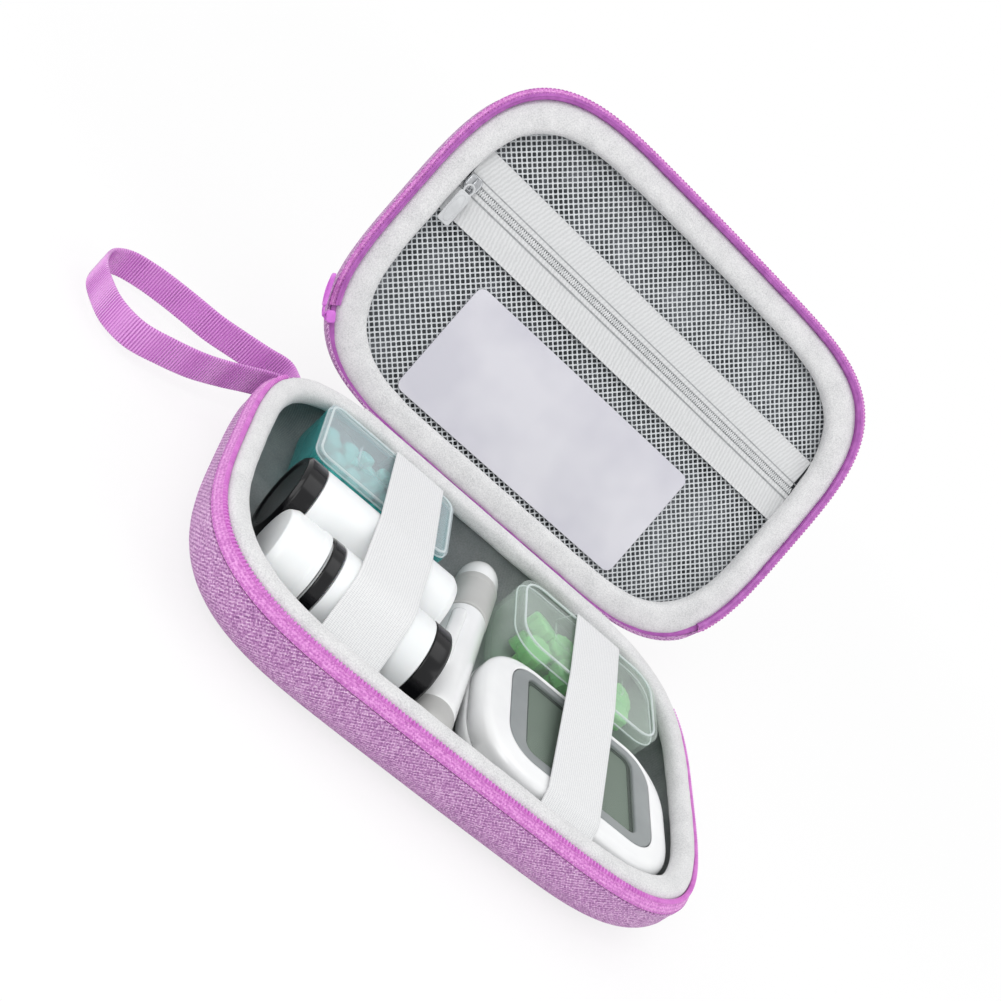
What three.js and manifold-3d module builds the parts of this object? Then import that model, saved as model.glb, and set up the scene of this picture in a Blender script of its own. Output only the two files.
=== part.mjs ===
// A soft shell carrying case for a blood glucose kit, open as in use, with everything it carries.
// Lengths are in millimetres. X runs along the hinge, Y from the front to the hinge, Z up.
import * as THREE from 'three';
import { mergeVertices } from 'three/addons/utils/BufferGeometryUtils.js';
import Module from 'manifold-3d';

// Driving dimensions

// The base and the lid, each a shell of cover, foam and lining. Heights start at the base's rim.
const base = { depth: 26, bendTop: 7.7, bendWidth: 22, innerBendWidth: 13, innerBendDepth: 13,
  innerRim: 4.95, backRim: 1.3 };
const lid = { depth: 25.6, bendTop: 12.5, bendWidth: 20, innerBendWidth: 15, innerBendDepth: 8.8,
  innerRim: 10.5, backRim: 3.6, lip: 4 };
const wall = { cover: 0.8, foam: 2.4, lining: 0.8 };
const clearance = 0.3;
const bendSteps = 4;
const openAngle = THREE.MathUtils.degToRad(114.4);
const hingeBehind = 0.74;

// The soft rims and the zip.
const baseRoll = { inset: 3.8, height: -0.8, halfWidth: 3.4, halfHeight: 3.8 };
const lidPad = { inset: 5.5, height: 7.5, halfWidth: 5.1, halfHeight: 3.5 };
const padSides = 8;
const zip = { tapeThickness: 0.8, lipStand: 0.9, coilWidth: 1.2, coilHeight: 1.4 };
const tapeBendShares = [[1, 1], [1, 0.75], [0.62, 0.33], [0, 0]];
const zipSlider = { length: 4.2, width: 3.4, height: 3.8, stand: 1.9, bottom: 2.2 };
const zipSliderShare = 0.33;
const zipTab = { length: 15, width: 4.4, thickness: 1.2 };
const spine = { endRoom: 37, thickness: 0.6, rise: 1 };
const spineSteps = 4;

// The lid's net pocket.
const net = { inset: 6, border: 5.6, height: 11.3, thickness: 0.7, pitch: 7.6, strand: 1.4 };
const pocket = { zipY: -18, tapeWidth: 14, tapeOverlap: 2, tapeInset: 9.9, tapeThickness: 0.8,
  coilWidth: 1.6, coilHeight: 1.1 };
const pocketSlider = { length: 6, width: 7, height: 2.6, endRoom: 14.6 };
const pocketTab = { length: 17, width: 4.4, thickness: 1.2, rootInset: 0.7 };
const card = { width: 111.5, height: 48, x: -2.7, y: 29.9, thickness: 0.6, corner: 3 };

// The elastic bands and the wrist strap.
const band = { width: 22, thickness: 0.8, anchorDepth: 9.5, arcStep: 0.35 };
const strap = { width: 11.5, thickness: 1.4, rootRoom: 11.7, rootDepth: 9, rootGap: 2.6, reach: 74,
  spread: 40, drop: 9.3 };
const strapRouteShares = [
  [0.073, 0.2375, 0.02], [0.193, 0.205, 0.1], [0.318, 0.2175, 0.27], [0.441, 0.235, 0.43],
  [0.565, 0.3, 0.59], [0.685, 0.36, 0.75], [0.803, 0.3725, 0.86], [0.922, 0.33, 0.97],
  [0.993, 0.16, 1], [0.993, -0.09, 1], [0.918, -0.345, 0.96], [0.83, -0.525, 0.89],
  [0.707, -0.6225, 0.77], [0.558, -0.5575, 0.65], [0.414, -0.445, 0.54],
  [0.274, -0.2775, 0.38], [0.132, -0.1, 0.16],
];
const strapSteps = 40;

// The meter.
const meter = { length: 84.6, width: 57.8, height: 19.6, corner: 23, wall: 1.8,
  split: 10.6, bottomRound: 9, topRound: 4 };
const bezel = { x: 0.9, y: 2.4, length: 64.4, width: 44, corner: 12, thickness: 1.6 };
const lens = { x: 0.8, y: 3.2, length: 49, width: 36.5, corner: 4, thickness: 1 };
const display = { length: 56, width: 41 };
const board = { thickness: 1.2 };
const batteryBay = { x: 12, y: -4, length: 34, width: 24, doorThickness: 1.5, travel: 4 };
const battery = { radius: 10, thickness: 3.2 };
const button = { length: 12, height: 2.8, depth: 4.6, proud: 0.85, middle: 14.2, fromCentre: 12 };

// The lancing pen, measured from its tail.
const pen = { length: 112, radius: 8.3, wall: 1.4, ringRadius: 8.5, sleeve: 12, ringLength: 24,
  noseLength: 16, noseRadius: 8, noseBore: 4.8, rodRadius: 3.2, rodTail: 3.3, rodSetback: 8,
  springOuter: 6.6, springLength: 18 };
const penRingEnd = pen.length - pen.noseLength;
const penRingStart = penRingEnd - pen.ringLength;
const penTilt = THREE.MathUtils.degToRad(8.63);
const penTailShares = [[0, 0], [0.65, 0], [0.89, 0.1], [1, 0.29], [1, 1]];
const penNoseShares = [[1, 0], [1, 0.25], [0.9, 0.56], [0.7, 0.84], [0.48, 1]];
const penButton = { start: 30, ringGap: 6, width: 5, inner: 6.2, outer: 9.8 };
const penButtonEnd = penRingStart - penButton.ringGap;
const penButtonTurn = THREE.MathUtils.degToRad(-40);

// The two test strip vials, which lie on their sides, measured from the black end.
const vial = { radius: 14.8, neckRadius: 13.4, bore: 12.2, endCup: 7, collarStart: 43.3,
  capStart: 48.2, length: 63.3, wall: 1.4, edge: 1.2 };
const roundSides = 28;

// The two lancet boxes.
const leftBox = { length: 57.5, width: 37.5, height: 23.1, corner: 6,
  lidThickness: 2.1, lancetRadius: 3.1, lancetTop: 13.5, lancetPitch: 7 };
const rightBox = { length: 69.2, width: 40.5, height: 23.1, corner: 12,
  lidThickness: 3.7, lancetRadius: 5.4, lancetTop: 16.5, lancetPitch: 11.4 };
const box = { wall: 1.5, edge: 1, lancetPlate: 1.6, lancetMargin: 1.6 };
const boxFootShares = [[1, 0], [0.5, 0.12], [0.2, 0.45], [0, 1]];
const boxFoot = { inset: 8, height: 8 };

// The room round what the case carries, and the rims' outline that follows from it: a stadium with
// softly squared ends and a slightly bowed front.
const room = { left: 20, penLane: 13.15, right: 9.8, betweenBoxes: 34.3,
  leftBoxBack: 12.5, boxToVial: 6.9, betweenVials: 1, vialFront: 17.9,
  rightBoxBack: 16.5, boxToMeter: 4.2, meterFront: 16, penTail: 13.5, penTip: 10.7,
  vialToPen: 7.5, leftBoxEnd: 23.5, rightBoxEnd: 15.5 };
const leftColumn = room.leftBoxBack + leftBox.width + room.boxToVial + 4 * vial.radius
  + room.betweenVials + room.vialFront;
const rightColumn = room.rightBoxBack + rightBox.width + room.boxToMeter + meter.width + room.meterFront;
const penColumn = room.penTail + pen.length * Math.cos(penTilt) + room.penTip;
const rimWidth = Math.max(leftColumn, rightColumn, penColumn);
const meterBack = rimWidth - room.rightBoxBack - rightBox.width - room.boxToMeter;
const penLane = room.penLane + (meterBack - room.penTail) * Math.tan(penTilt);
const frontRow = room.left + vial.length + penLane + meter.length + room.right;
const backRow = room.leftBoxEnd + leftBox.length + room.betweenBoxes + rightBox.length + room.rightBoxEnd;
const rim = {
  length: Math.max(frontRow, backRow),
  width: rimWidth,
  bow: 2,
  wallStand: 2.5,
  backShift: 2.1,
  trimShift: 0.5,
};
const rimExponent = 3.6;
const stepsPerCorner = 8;
const zippedShare = 0.77;

const leftBoxAt = {
  x: room.leftBoxEnd + leftBox.length / 2 - rim.length / 2,
  y: rim.width / 2 - room.leftBoxBack - leftBox.width / 2,
};
const rightBoxAt = {
  x: rim.length / 2 - room.rightBoxEnd - rightBox.length / 2,
  y: rim.width / 2 - room.rightBoxBack - rightBox.width / 2,
};
const vialX = room.left - rim.length / 2;
const rearVialY = leftBoxAt.y - leftBox.width / 2 - room.boxToVial - vial.radius;
const frontVialY = rearVialY - 2 * vial.radius - room.betweenVials;
const meterAt = {
  x: vialX + vial.length + penLane + meter.length / 2,
  y: rightBoxAt.y - rightBox.width / 2 - room.boxToMeter - meter.width / 2,
};
const penTail = { x: vialX + vial.length + room.vialToPen, y: room.penTail - rim.width / 2 };
const bandShift = { leftBack: 11.75, leftFront: 1.85, rightBack: 4.6, rightFront: -5.4 };
const leftBand = { backX: leftBoxAt.x + bandShift.leftBack, frontX: leftBoxAt.x + bandShift.leftFront };
const rightBand = { backX: rightBoxAt.x + bandShift.rightBack, frontX: meterAt.x + bandShift.rightFront };
const strapRootX = strap.rootRoom - rim.length / 2;
const pocketSliderX = pocketSlider.endRoom - rim.length / 2;

// Materials

function material(color, roughness, metalness = 0) {
  return new THREE.MeshStandardMaterial({ color, roughness, metalness });
}

const materials = {
  coverFabric: material('#C583CF', 0.9),
  zipTape: material('#DE7FE0', 0.8),
  zipCoil: material('#C85FCB', 0.55),
  foam: material('#4A4650', 0.95),
  lining: material('#7A8284', 0.95),
  plush: material('#E9EAEC', 0.95),
  net: material('#C9CCCF', 0.85),
  greyTape: material('#DCDDE0', 0.85),
  card: material('#D4D2DC', 0.6),
  metal: material('#C9C9CC', 0.3, 1),
  strap: material('#BE66C8', 0.8),
  elastic: material('#E4E5E7', 0.9),
  whitePlastic: material('#F2F3F4', 0.25),
  greyPlastic: material('#9AA0A1', 0.4),
  blackPlastic: material('#151617', 0.15),
  glass: material('#5F6B63', 0.08),
  display: material('#6E7B70', 0.5),
  board: material('#1F6B3A', 0.6),
  tealPlastic: material('#7FD3D6', 0.15),
  greenPlastic: material('#8FD88A', 0.3),
  clearPlastic: material('#DDEFE4', 0.1),
};

function part(name, geometry, finish) {
  const mesh = new THREE.Mesh(geometry, finish.clone());
  mesh.name = name;
  return mesh;
}

function placed(x, y, z, ...children) {
  const group = new THREE.Group();
  group.position.set(x, y, z);
  group.add(...children);
  return group;
}

// Solids from rings of points

function facingOut(source) {
  source.deleteAttribute('normal');
  source.deleteAttribute('uv');
  const geometry = mergeVertices(source);
  const position = geometry.getAttribute('position');
  const corner = [0, 1, 2].map(() => new THREE.Vector3());
  const kept = [];
  let volume = 0;
  for (let t = 0; t < geometry.index.count; t += 3) {
    const face = [0, 1, 2].map((i) => geometry.index.getX(t + i));
    if (new Set(face).size < 3) continue;
    kept.push(face);
    face.forEach((vertex, i) => corner[i].fromBufferAttribute(position, vertex));
    volume += corner[0].dot(corner[1].cross(corner[2]));
  }
  geometry.setIndex(kept.flatMap(([a, b, c]) => (volume < 0 ? [a, c, b] : [a, b, c])));
  geometry.computeVertexNormals();
  return geometry;
}

// Joins rings of equally many points, one after the other. A closed loft joins the last to the first.
function loft(rings, closed = false) {
  const count = rings[0].length;
  const points = rings.flat();
  const index = [];
  const joins = closed ? rings.length : rings.length - 1;
  for (let r = 0; r < joins; r++) {
    const next = (r + 1) % rings.length;
    for (let i = 0; i < count; i++) {
      const j = (i + 1) % count;
      const [a, b, c, d] = [r * count + i, r * count + j, next * count + j, next * count + i];
      index.push(a, b, c, a, c, d);
    }
  }
  const ends = closed ? [] : [0, rings.length - 1];
  for (const r of ends) {
    const middle = new THREE.Vector3();
    rings[r].forEach((point) => middle.addScaledVector(point, 1 / count));
    points.push(middle);
    for (let i = 0; i < count; i++) {
      const [a, b] = [r * count + i, r * count + (i + 1) % count];
      index.push(points.length - 1, ...(r === 0 ? [b, a] : [a, b]));
    }
  }
  const geometry = new THREE.BufferGeometry().setFromPoints(points);
  geometry.setIndex(index);
  return facingOut(geometry);
}

// A rectangle with round corners, drawn in by an inset, at a height.
function roundedRing({ length, width, corner }, inset, height, x = 0, y = 0) {
  const steps = 4;
  const radius = Math.max(corner - inset, corner / 4);
  const ring = [];
  for (const [sx, sy, first] of [[1, 1, 0], [-1, 1, 1], [-1, -1, 2], [1, -1, 3]]) {
    for (let step = 0; step <= steps; step++) {
      const turn = (first + step / steps) * Math.PI / 2;
      ring.push(new THREE.Vector3(
        x + sx * (length / 2 - inset - radius) + radius * Math.cos(turn),
        y + sy * (width / 2 - inset - radius) + radius * Math.sin(turn),
        height,
      ));
    }
  }
  return ring;
}

function roundedBlock(plan, bottom, top) {
  return loft([roundedRing(plan, 0, bottom), roundedRing(plan, 0, top)]);
}

function turned(profile) {
  return facingOut(new THREE.LatheGeometry(profile.map(([r, s]) => new THREE.Vector2(r, s)), roundSides));
}

function slab(length, width, height, x, y, z) {
  return new THREE.BoxGeometry(length, width, height).translate(x, y, z);
}

const wasm = await Module();
wasm.setup();

function solid(geometry) {
  const source = geometry.clone();
  source.deleteAttribute('normal');
  source.deleteAttribute('uv');
  const merged = mergeVertices(source);
  const vertProperties = new Float32Array(merged.getAttribute('position').array);
  const triVerts = new Uint32Array(merged.index.array);
  return new wasm.Manifold(new wasm.Mesh({ numProp: 3, vertProperties, triVerts }));
}

function geometryOf(manifold) {
  const mesh = manifold.getMesh();
  const geometry = new THREE.BufferGeometry();
  geometry.setAttribute('position', new THREE.BufferAttribute(new Float32Array(mesh.vertProperties), 3));
  geometry.setIndex(new THREE.BufferAttribute(new Uint32Array(mesh.triVerts), 1));
  return facingOut(geometry);
}

function cut(geometry, ...tools) {
  return geometryOf(tools.reduce((body, tool) => body.subtract(solid(tool)), solid(geometry)));
}

function joined(...geometries) {
  return geometryOf(geometries.map(solid).reduce((body, more) => body.add(more)));
}

// The outline of the rims

// Each point has the corner centre that it belongs to and its place on a unit superellipse.
function rimTemplate() {
  const power = 2 / rimExponent;
  const quarter = (step) => {
    const turn = step / stepsPerCorner * Math.PI / 2;
    return [Math.max(Math.cos(turn), 0) ** power, Math.sin(turn) ** power];
  };
  const points = [];
  for (let step = 0; step <= stepsPerCorner; step++) {
    const [c, s] = quarter(step);
    points.push({ side: 1, across: c, along: s });
  }
  for (let step = 0; step <= stepsPerCorner; step++) {
    const [c, s] = quarter(step);
    points.push({ side: -1, across: -s, along: c });
  }
  for (let step = 1; step <= stepsPerCorner; step++) {
    const [c, s] = quarter(step);
    points.push({ side: -1, across: -c, along: -s });
  }
  points.push({ side: 0, across: 0, along: -1 });
  for (let step = 0; step < stepsPerCorner; step++) {
    const [c, s] = quarter(step);
    points.push({ side: 1, across: s, along: -c });
  }
  return points;
}

const template = rimTemplate();
const endRadius = rim.width / 2;
const endCentre = (rim.length - rim.width) / 2;
const leftSeamEnd = template.findIndex((p) => p.side < 0 && p.along <= zippedShare);

// The outline moved outwards by a stand-off. Along the back it stays in, clear of the hinge.
function rimRing(stand, height, backShift = rim.backShift) {
  return template.map(({ side, across, along }) => {
    const x = side * endCentre + (endRadius + stand) * across;
    const reach = endRadius + stand - (along > 0 ? backShift : 0);
    const bow = along < 0 ? rim.bow / endRadius * (1 - (x / (rim.length / 2 + stand)) ** 2) : 0;
    return new THREE.Vector3(x, reach * along * (1 + bow), height);
  });
}

// The same outline with one height where the case zips and another along the hinge.
function steppedRing(stand, zippedHeight, backHeight) {
  const ring = rimRing(stand, zippedHeight);
  ring.forEach((point, i) => point.setZ(template[i].along <= zippedShare ? zippedHeight : backHeight));
  return ring;
}

// The stretch of the outline that zips, from its left end round the front to its right end.
function zippedStretch(stand, height) {
  const ring = rimRing(stand, height);
  const order = [...ring.keys()].map((i) => (i + leftSeamEnd) % ring.length);
  return order.filter((i) => template[i].along <= zippedShare).map((i) => ring[i]);
}

// How far the outline reaches along Y at a place along X.
function outlineY(x, stand, backShift) {
  const across = Math.max(Math.abs(x) - endCentre, 0) / (endRadius + stand);
  return (endRadius + stand - backShift) * (1 - across ** rimExponent) ** (1 / rimExponent);
}

function insideRim(x, y, inset) {
  const reach = endRadius - inset;
  const across = Math.max(Math.abs(x) - endCentre, 0) / reach;
  return across ** rimExponent + (Math.abs(y) / reach) ** rimExponent < 1;
}

// Base and lid shells

// Rings of one wall surface from the floor's edge round its bend. The side is -1 down and 1 up.
function bendRings({ stand, depth, bendWidth, bendDepth }, side) {
  const rings = [];
  for (let step = 0; step <= bendSteps; step++) {
    const turn = (1 - step / bendSteps) * Math.PI / 2;
    const inward = bendWidth * (1 - Math.cos(turn));
    const height = depth - bendDepth * (1 - Math.sin(turn));
    rings.push(rimRing(stand - inward, side * height));
  }
  return rings;
}

function outerSurface(half, into) {
  return {
    stand: rim.wallStand - into,
    depth: half.depth - into,
    bendWidth: half.bendWidth - into,
    bendDepth: half.depth - half.bendTop - into,
  };
}

const wallThickness = wall.cover + clearance + wall.foam + clearance + wall.lining;

function innerSurface(half, out) {
  return {
    stand: rim.wallStand - wallThickness + out,
    depth: half.depth - wallThickness + out,
    bendWidth: half.innerBendWidth + out,
    bendDepth: half.innerBendDepth + out,
  };
}

function coverGeometry(half, side) {
  const skin = (into) => {
    const surface = outerSurface(half, into);
    const edge = steppedRing(surface.stand, side * half.bendTop, side * half.backRim);
    return [...bendRings(surface, side), edge];
  };
  return loft([...skin(0), ...skin(wall.cover).reverse()]);
}

function innerLayerGeometry(half, side, outer, inner) {
  const skin = (surface) => [...bendRings(surface, side), rimRing(surface.stand, side * half.innerRim)];
  return loft([...skin(outer), ...skin(inner).reverse()]);
}

function foamGeometry(half, side) {
  const outer = outerSurface(half, wall.cover + clearance);
  const inner = innerSurface(half, wall.lining + clearance);
  return innerLayerGeometry(half, side, outer, inner);
}

function liningGeometry(half, side) {
  return innerLayerGeometry(half, side, innerSurface(half, wall.lining), innerSurface(half, 0));
}

function rollGeometry({ inset, height, halfWidth, halfHeight }) {
  const rings = [];
  for (let i = 0; i < padSides; i++) {
    const turn = i / padSides * 2 * Math.PI;
    const stand = halfWidth * Math.cos(turn) - inset;
    rings.push(rimRing(stand, height + halfHeight * Math.sin(turn), rim.trimShift));
  }
  return loft(rings, true);
}

// A strip of one section carried along the zipped stretch.
function zippedStrip(section) {
  const lines = section.map(([stand, height]) => zippedStretch(stand, height));
  return loft(lines[0].map((_, i) => lines.map((line) => line[i])));
}

// The tape follows the wall and leans in to the rim, from the rim's lip height to the cover's edge.
function zipTapeGeometry(lip, edge) {
  const outer = tapeBendShares.map(([out, up]) => [
    zip.lipStand + out * (rim.wallStand - zip.lipStand),
    lip + up * (edge - lip),
  ]);
  const inner = outer.map(([stand, height]) => [stand - zip.tapeThickness, height]).reverse();
  return zippedStrip([...outer, ...inner]);
}

function zipCoilGeometry(bottom) {
  const inner = zip.lipStand - zip.tapeThickness;
  const outer = inner + zip.coilWidth;
  const top = bottom + zip.coilHeight;
  return zippedStrip([[inner, bottom], [outer, bottom], [outer, top], [inner, top]]);
}

const lidCoilBottom = lid.lip - clearance - zip.coilHeight;

// Hinge

const backWall = endRadius + rim.wallStand - rim.backShift;
const hinge = new THREE.Vector2(endRadius + hingeBehind, 0);

// Where a place on the closed lid comes to when the lid stands open, in the YZ plane.
function opened(y, height) {
  const [dy, dz] = [y - hinge.x, height - hinge.y];
  const [c, s] = [Math.cos(openAngle), Math.sin(openAngle)];
  return new THREE.Vector2(hinge.x + dy * c + dz * s, hinge.y - dy * s + dz * c);
}

function spineGeometry() {
  const middle = backWall - wall.cover / 2;
  const start = new THREE.Vector2(middle, -base.backRim + clearance);
  const end = opened(middle, lid.backRim - clearance);
  const crown = new THREE.Vector2((start.x + end.x) / 2, spine.rise);
  const curve = new THREE.QuadraticBezierCurve(start, crown, end);
  const rings = curve.getPoints(spineSteps).map((point, i) => {
    const run = curve.getTangent(i / spineSteps);
    const normal = new THREE.Vector2(-run.y, run.x).multiplyScalar(spine.thickness / 2);
    return [[-1, -1], [1, -1], [1, 1], [-1, 1]].map(([side, face]) => new THREE.Vector3(
      side * (rim.length / 2 - spine.endRoom),
      point.x + face * normal.x,
      point.y + face * normal.y,
    ));
  });
  return loft(rings);
}

// Elastic bands

// A band pulled tight from back to front over round edges, each {y, z, r}.
function tautPath(rounds) {
  const headings = [];
  for (let k = 0; k + 1 < rounds.length; k++) {
    const [a, b] = [rounds[k], rounds[k + 1]];
    const run = new THREE.Vector2(b.y - a.y, b.z - a.z);
    headings.push(run.angle() + Math.asin((a.r - b.r) / run.length()));
  }
  const at = (round, heading) => new THREE.Vector2(
    round.y + round.r * Math.sin(heading),
    round.z - round.r * Math.cos(heading),
  );
  const path = [at(rounds[0], headings[0])];
  for (let k = 1; k + 1 < rounds.length; k++) {
    const turn = headings[k] - headings[k - 1];
    const steps = Math.max(1, Math.ceil(Math.abs(turn) / band.arcStep));
    for (let step = 0; step <= steps; step++) {
      path.push(at(rounds[k], headings[k - 1] + turn * step / steps));
    }
  }
  path.push(at(rounds[rounds.length - 1], headings[headings.length - 1]));
  return path;
}

function bandGeometry({ backX, frontX }, rounds) {
  const path = tautPath(rounds);
  const [back, front] = [path[0].x, path[path.length - 1].x];
  const rings = path.map((point, i) => {
    const run = path[Math.min(i + 1, path.length - 1)].clone().sub(path[Math.max(i - 1, 0)]).normalize();
    const middle = THREE.MathUtils.mapLinear(point.x, back, front, backX, frontX);
    return [[-1, -1], [1, -1], [1, 1], [-1, 1]].map(([side, face]) => new THREE.Vector3(
      middle + side * band.width / 2,
      point.x - face * run.y * band.thickness / 2,
      point.y + face * run.x * band.thickness / 2,
    ));
  });
  return loft(rings);
}

const floorTop = wallThickness - base.depth;
const overEdge = clearance + band.thickness / 2;

// The place where a band is sewn to the lining, at the back (1) or the front (-1) of the base.
function anchor(middle, side) {
  const farthest = Math.abs(middle) + band.width / 2;
  const inside = outlineY(farthest, innerSurface(base, 0).stand, side > 0 ? rim.backShift : 0);
  return { y: side * (inside - overEdge - clearance), z: -band.anchorDepth, r: 0 };
}

function topEdgeRound(plan, at, back) {
  const side = back ? 1 : -1;
  return {
    y: at.y + side * (plan.width / 2 - box.edge),
    z: floorTop + clearance + plan.height - box.edge,
    r: box.edge + overEdge,
  };
}

const vialZ = floorTop + clearance + vial.radius;
const leftBandRounds = [
  anchor(leftBand.backX, 1),
  topEdgeRound(leftBox, leftBoxAt, true),
  { y: rearVialY, z: vialZ, r: vial.radius + overEdge },
  { y: frontVialY, z: vialZ, r: vial.radius + overEdge },
  anchor(leftBand.frontX, -1),
];
const rightBandRounds = [
  anchor(rightBand.backX, 1),
  topEdgeRound(rightBox, rightBoxAt, true),
  topEdgeRound(rightBox, rightBoxAt, false),
  {
    y: meterAt.y - meter.width / 2 + meter.topRound,
    z: floorTop + clearance + meter.height - meter.topRound,
    r: meter.topRound + overEdge,
  },
  anchor(rightBand.frontX, -1),
];

// Wrist strap, a ribbon that stands on edge in a loop

function strapGeometry() {
  const wallY = (x) => outlineY(x, rim.wallStand, rim.backShift);
  const standOff = clearance + strap.thickness / 2;
  const rootAt = (x) => new THREE.Vector3(x, wallY(x) + standOff, -strap.rootDepth);
  const first = rootAt(strapRootX + strap.rootGap / 2);
  const last = rootAt(strapRootX - strap.rootGap / 2);
  const route = strapRouteShares.map(([out, side, down]) => new THREE.Vector3(
    strapRootX - out * strap.reach,
    wallY(strapRootX) + side * strap.spread,
    -strap.rootDepth - down * strap.drop,
  ));
  const curve = new THREE.CatmullRomCurve3([first, ...route, last]);
  const rings = curve.getSpacedPoints(strapSteps).map((point, i) => {
    const run = curve.getTangentAt(i / strapSteps).setZ(0).normalize();
    return [[-1, -1], [1, -1], [1, 1], [-1, 1]].map(([face, end]) => new THREE.Vector3(
      point.x - face * run.y * strap.thickness / 2,
      point.y + face * run.x * strap.thickness / 2,
      point.z + end * strap.width / 2,
    ));
  });
  return loft(rings);
}

// Net pocket in the lid

function clipAcross(points, limit, side) {
  const kept = [];
  points.forEach((point, i) => {
    const next = points[(i + 1) % points.length];
    const [here, there] = [side * (point.y - limit), side * (next.y - limit)];
    if (here >= 0) kept.push(new THREE.Vector2(point.x, point.y));
    if ((here >= 0) !== (there >= 0)) {
      const share = here / (here - there);
      kept.push(new THREE.Vector2(point.x + share * (next.x - point.x), limit));
    }
  });
  return kept;
}

// A flat net of crossed strands inside a plain border. The side is -1 in front of the pocket's zip.
function netGeometry(side) {
  const edge = pocket.zipY + side * (pocket.tapeWidth - pocket.tapeOverlap);
  const shape = new THREE.Shape(clipAcross(rimRing(-net.inset, 0, rim.trimShift), edge, side));
  const step = net.pitch * Math.SQRT2;
  const reach = (net.pitch - net.strand) / Math.SQRT2;
  const rows = Math.ceil(rim.length / step);
  for (let row = -rows; row <= rows; row++) {
    for (let column = -rows; column <= rows; column++) {
      const x = (column + (row % 2 === 0 ? 0 : 0.5)) * step;
      const y = row * step / 2;
      const clearOfZip = side * (y - edge) > reach + net.strand;
      const corners = [[x + reach, y], [x, y + reach], [x - reach, y], [x, y - reach]];
      const clearOfRim = corners.every(([cx, cy]) => insideRim(cx, cy, net.inset + net.border));
      if (clearOfZip && clearOfRim) {
        shape.holes.push(new THREE.Path(corners.map(([cx, cy]) => new THREE.Vector2(cx, cy))));
      }
    }
  }
  const settings = { depth: net.thickness, bevelEnabled: false };
  return facingOut(new THREE.ExtrudeGeometry(shape, settings).translate(0, 0, net.height));
}

const pocketTapeTop = net.height - clearance;
const pocketHalfCoil = pocket.coilWidth / 2;
const pocketLength = rim.length - 2 * pocket.tapeInset;

function pocketTapeGeometry(side) {
  const inner = pocketHalfCoil + clearance;
  const width = pocket.tapeWidth - inner;
  const middle = pocket.zipY + side * (inner + width / 2);
  const height = pocketTapeTop - pocket.tapeThickness / 2;
  const outerY = Math.abs(pocket.zipY + side * pocket.tapeWidth);
  const reach = endRadius - pocket.tapeInset;
  const share = (1 - (outerY / reach) ** rimExponent) ** (1 / rimExponent);
  const length = Math.min(pocketLength, 2 * (endCentre + reach * share));
  return slab(length, width, pocket.tapeThickness, 0, middle, height);
}

// Lid, in its closed place

function lidGroup() {
  const zipSliderSeat = () => {
    const middle = zipSlider.bottom + zipSlider.height / 2;
    const ring = rimRing(zipSlider.stand, middle);
    const [seamEnd, beyond] = [ring[leftSeamEnd], ring[leftSeamEnd - 1]];
    const seat = new THREE.Group();
    seat.position.lerpVectors(seamEnd, beyond, zipSliderShare);
    seat.rotation.z = Math.atan2(seamEnd.y - beyond.y, seamEnd.x - beyond.x);
    const tabOut = zipSlider.width / 2 + clearance + zipTab.thickness / 2;
    seat.add(
      part('main_slider', slab(zipSlider.length, zipSlider.width, zipSlider.height, 0, 0, 0),
        materials.metal),
      part('main_pull_tab', slab(zipTab.length, zipTab.thickness, zipTab.width, zipTab.length / 2,
        -tabOut, 0), materials.zipCoil),
    );
    return seat;
  };
  const coilMiddle = pocketTapeTop - pocket.coilHeight / 2;
  const sliderTop = pocketTapeTop - pocket.coilHeight - clearance;
  const tabHeight = sliderTop - pocketSlider.height - clearance - pocketTab.thickness / 2;
  const tabRoot = pocket.zipY + pocketSlider.width / 2 - pocketTab.rootInset;
  const closedLid = placed(0, -hinge.x, 0,
    part('lid_cover', coverGeometry(lid, 1), materials.coverFabric),
    part('lid_shell', foamGeometry(lid, 1), materials.foam),
    part('lid_lining', liningGeometry(lid, 1), materials.lining),
    part('lid_rim_pad', rollGeometry(lidPad), materials.plush),
    part('lid_zipper_tape', zipTapeGeometry(lid.lip, lid.bendTop - clearance), materials.zipTape),
    part('lid_zipper_coil', zipCoilGeometry(lidCoilBottom), materials.zipCoil),
    part('lid_net_front', netGeometry(-1), materials.net),
    part('lid_net_back', netGeometry(1), materials.net),
    part('pocket_tape_front', pocketTapeGeometry(-1), materials.greyTape),
    part('pocket_tape_back', pocketTapeGeometry(1), materials.greyTape),
    part('pocket_zipper_coil', slab(pocketLength, pocket.coilWidth, pocket.coilHeight, 0, pocket.zipY,
      coilMiddle), materials.greyTape),
    part('info_card', roundedBlock({ length: card.width, width: card.height, corner: card.corner },
      pocketTapeTop - card.thickness, pocketTapeTop).translate(card.x, card.y, 0), materials.card),
    part('pocket_slider', slab(pocketSlider.length, pocketSlider.width, pocketSlider.height,
      pocketSliderX, pocket.zipY, sliderTop - pocketSlider.height / 2), materials.metal),
    part('pocket_pull_tab', slab(pocketTab.width, pocketTab.length, pocketTab.thickness,
      pocketSliderX, tabRoot + pocketTab.length / 2, tabHeight), materials.metal),
    zipSliderSeat(),
  );
  const group = placed(0, hinge.x, 0, closedLid);
  group.rotation.x = -openAngle;
  return group;
}

// Meter, with its origin in the middle of its back

function quarterRound(radius, inset, height, up) {
  const steps = 3;
  const layers = [];
  for (let step = 0; step <= steps; step++) {
    const turn = (1 - step / steps) * Math.PI / 2;
    layers.push([inset + radius * (1 - Math.cos(turn)), height + up * radius * (1 - Math.sin(turn))]);
  }
  return layers;
}

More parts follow.
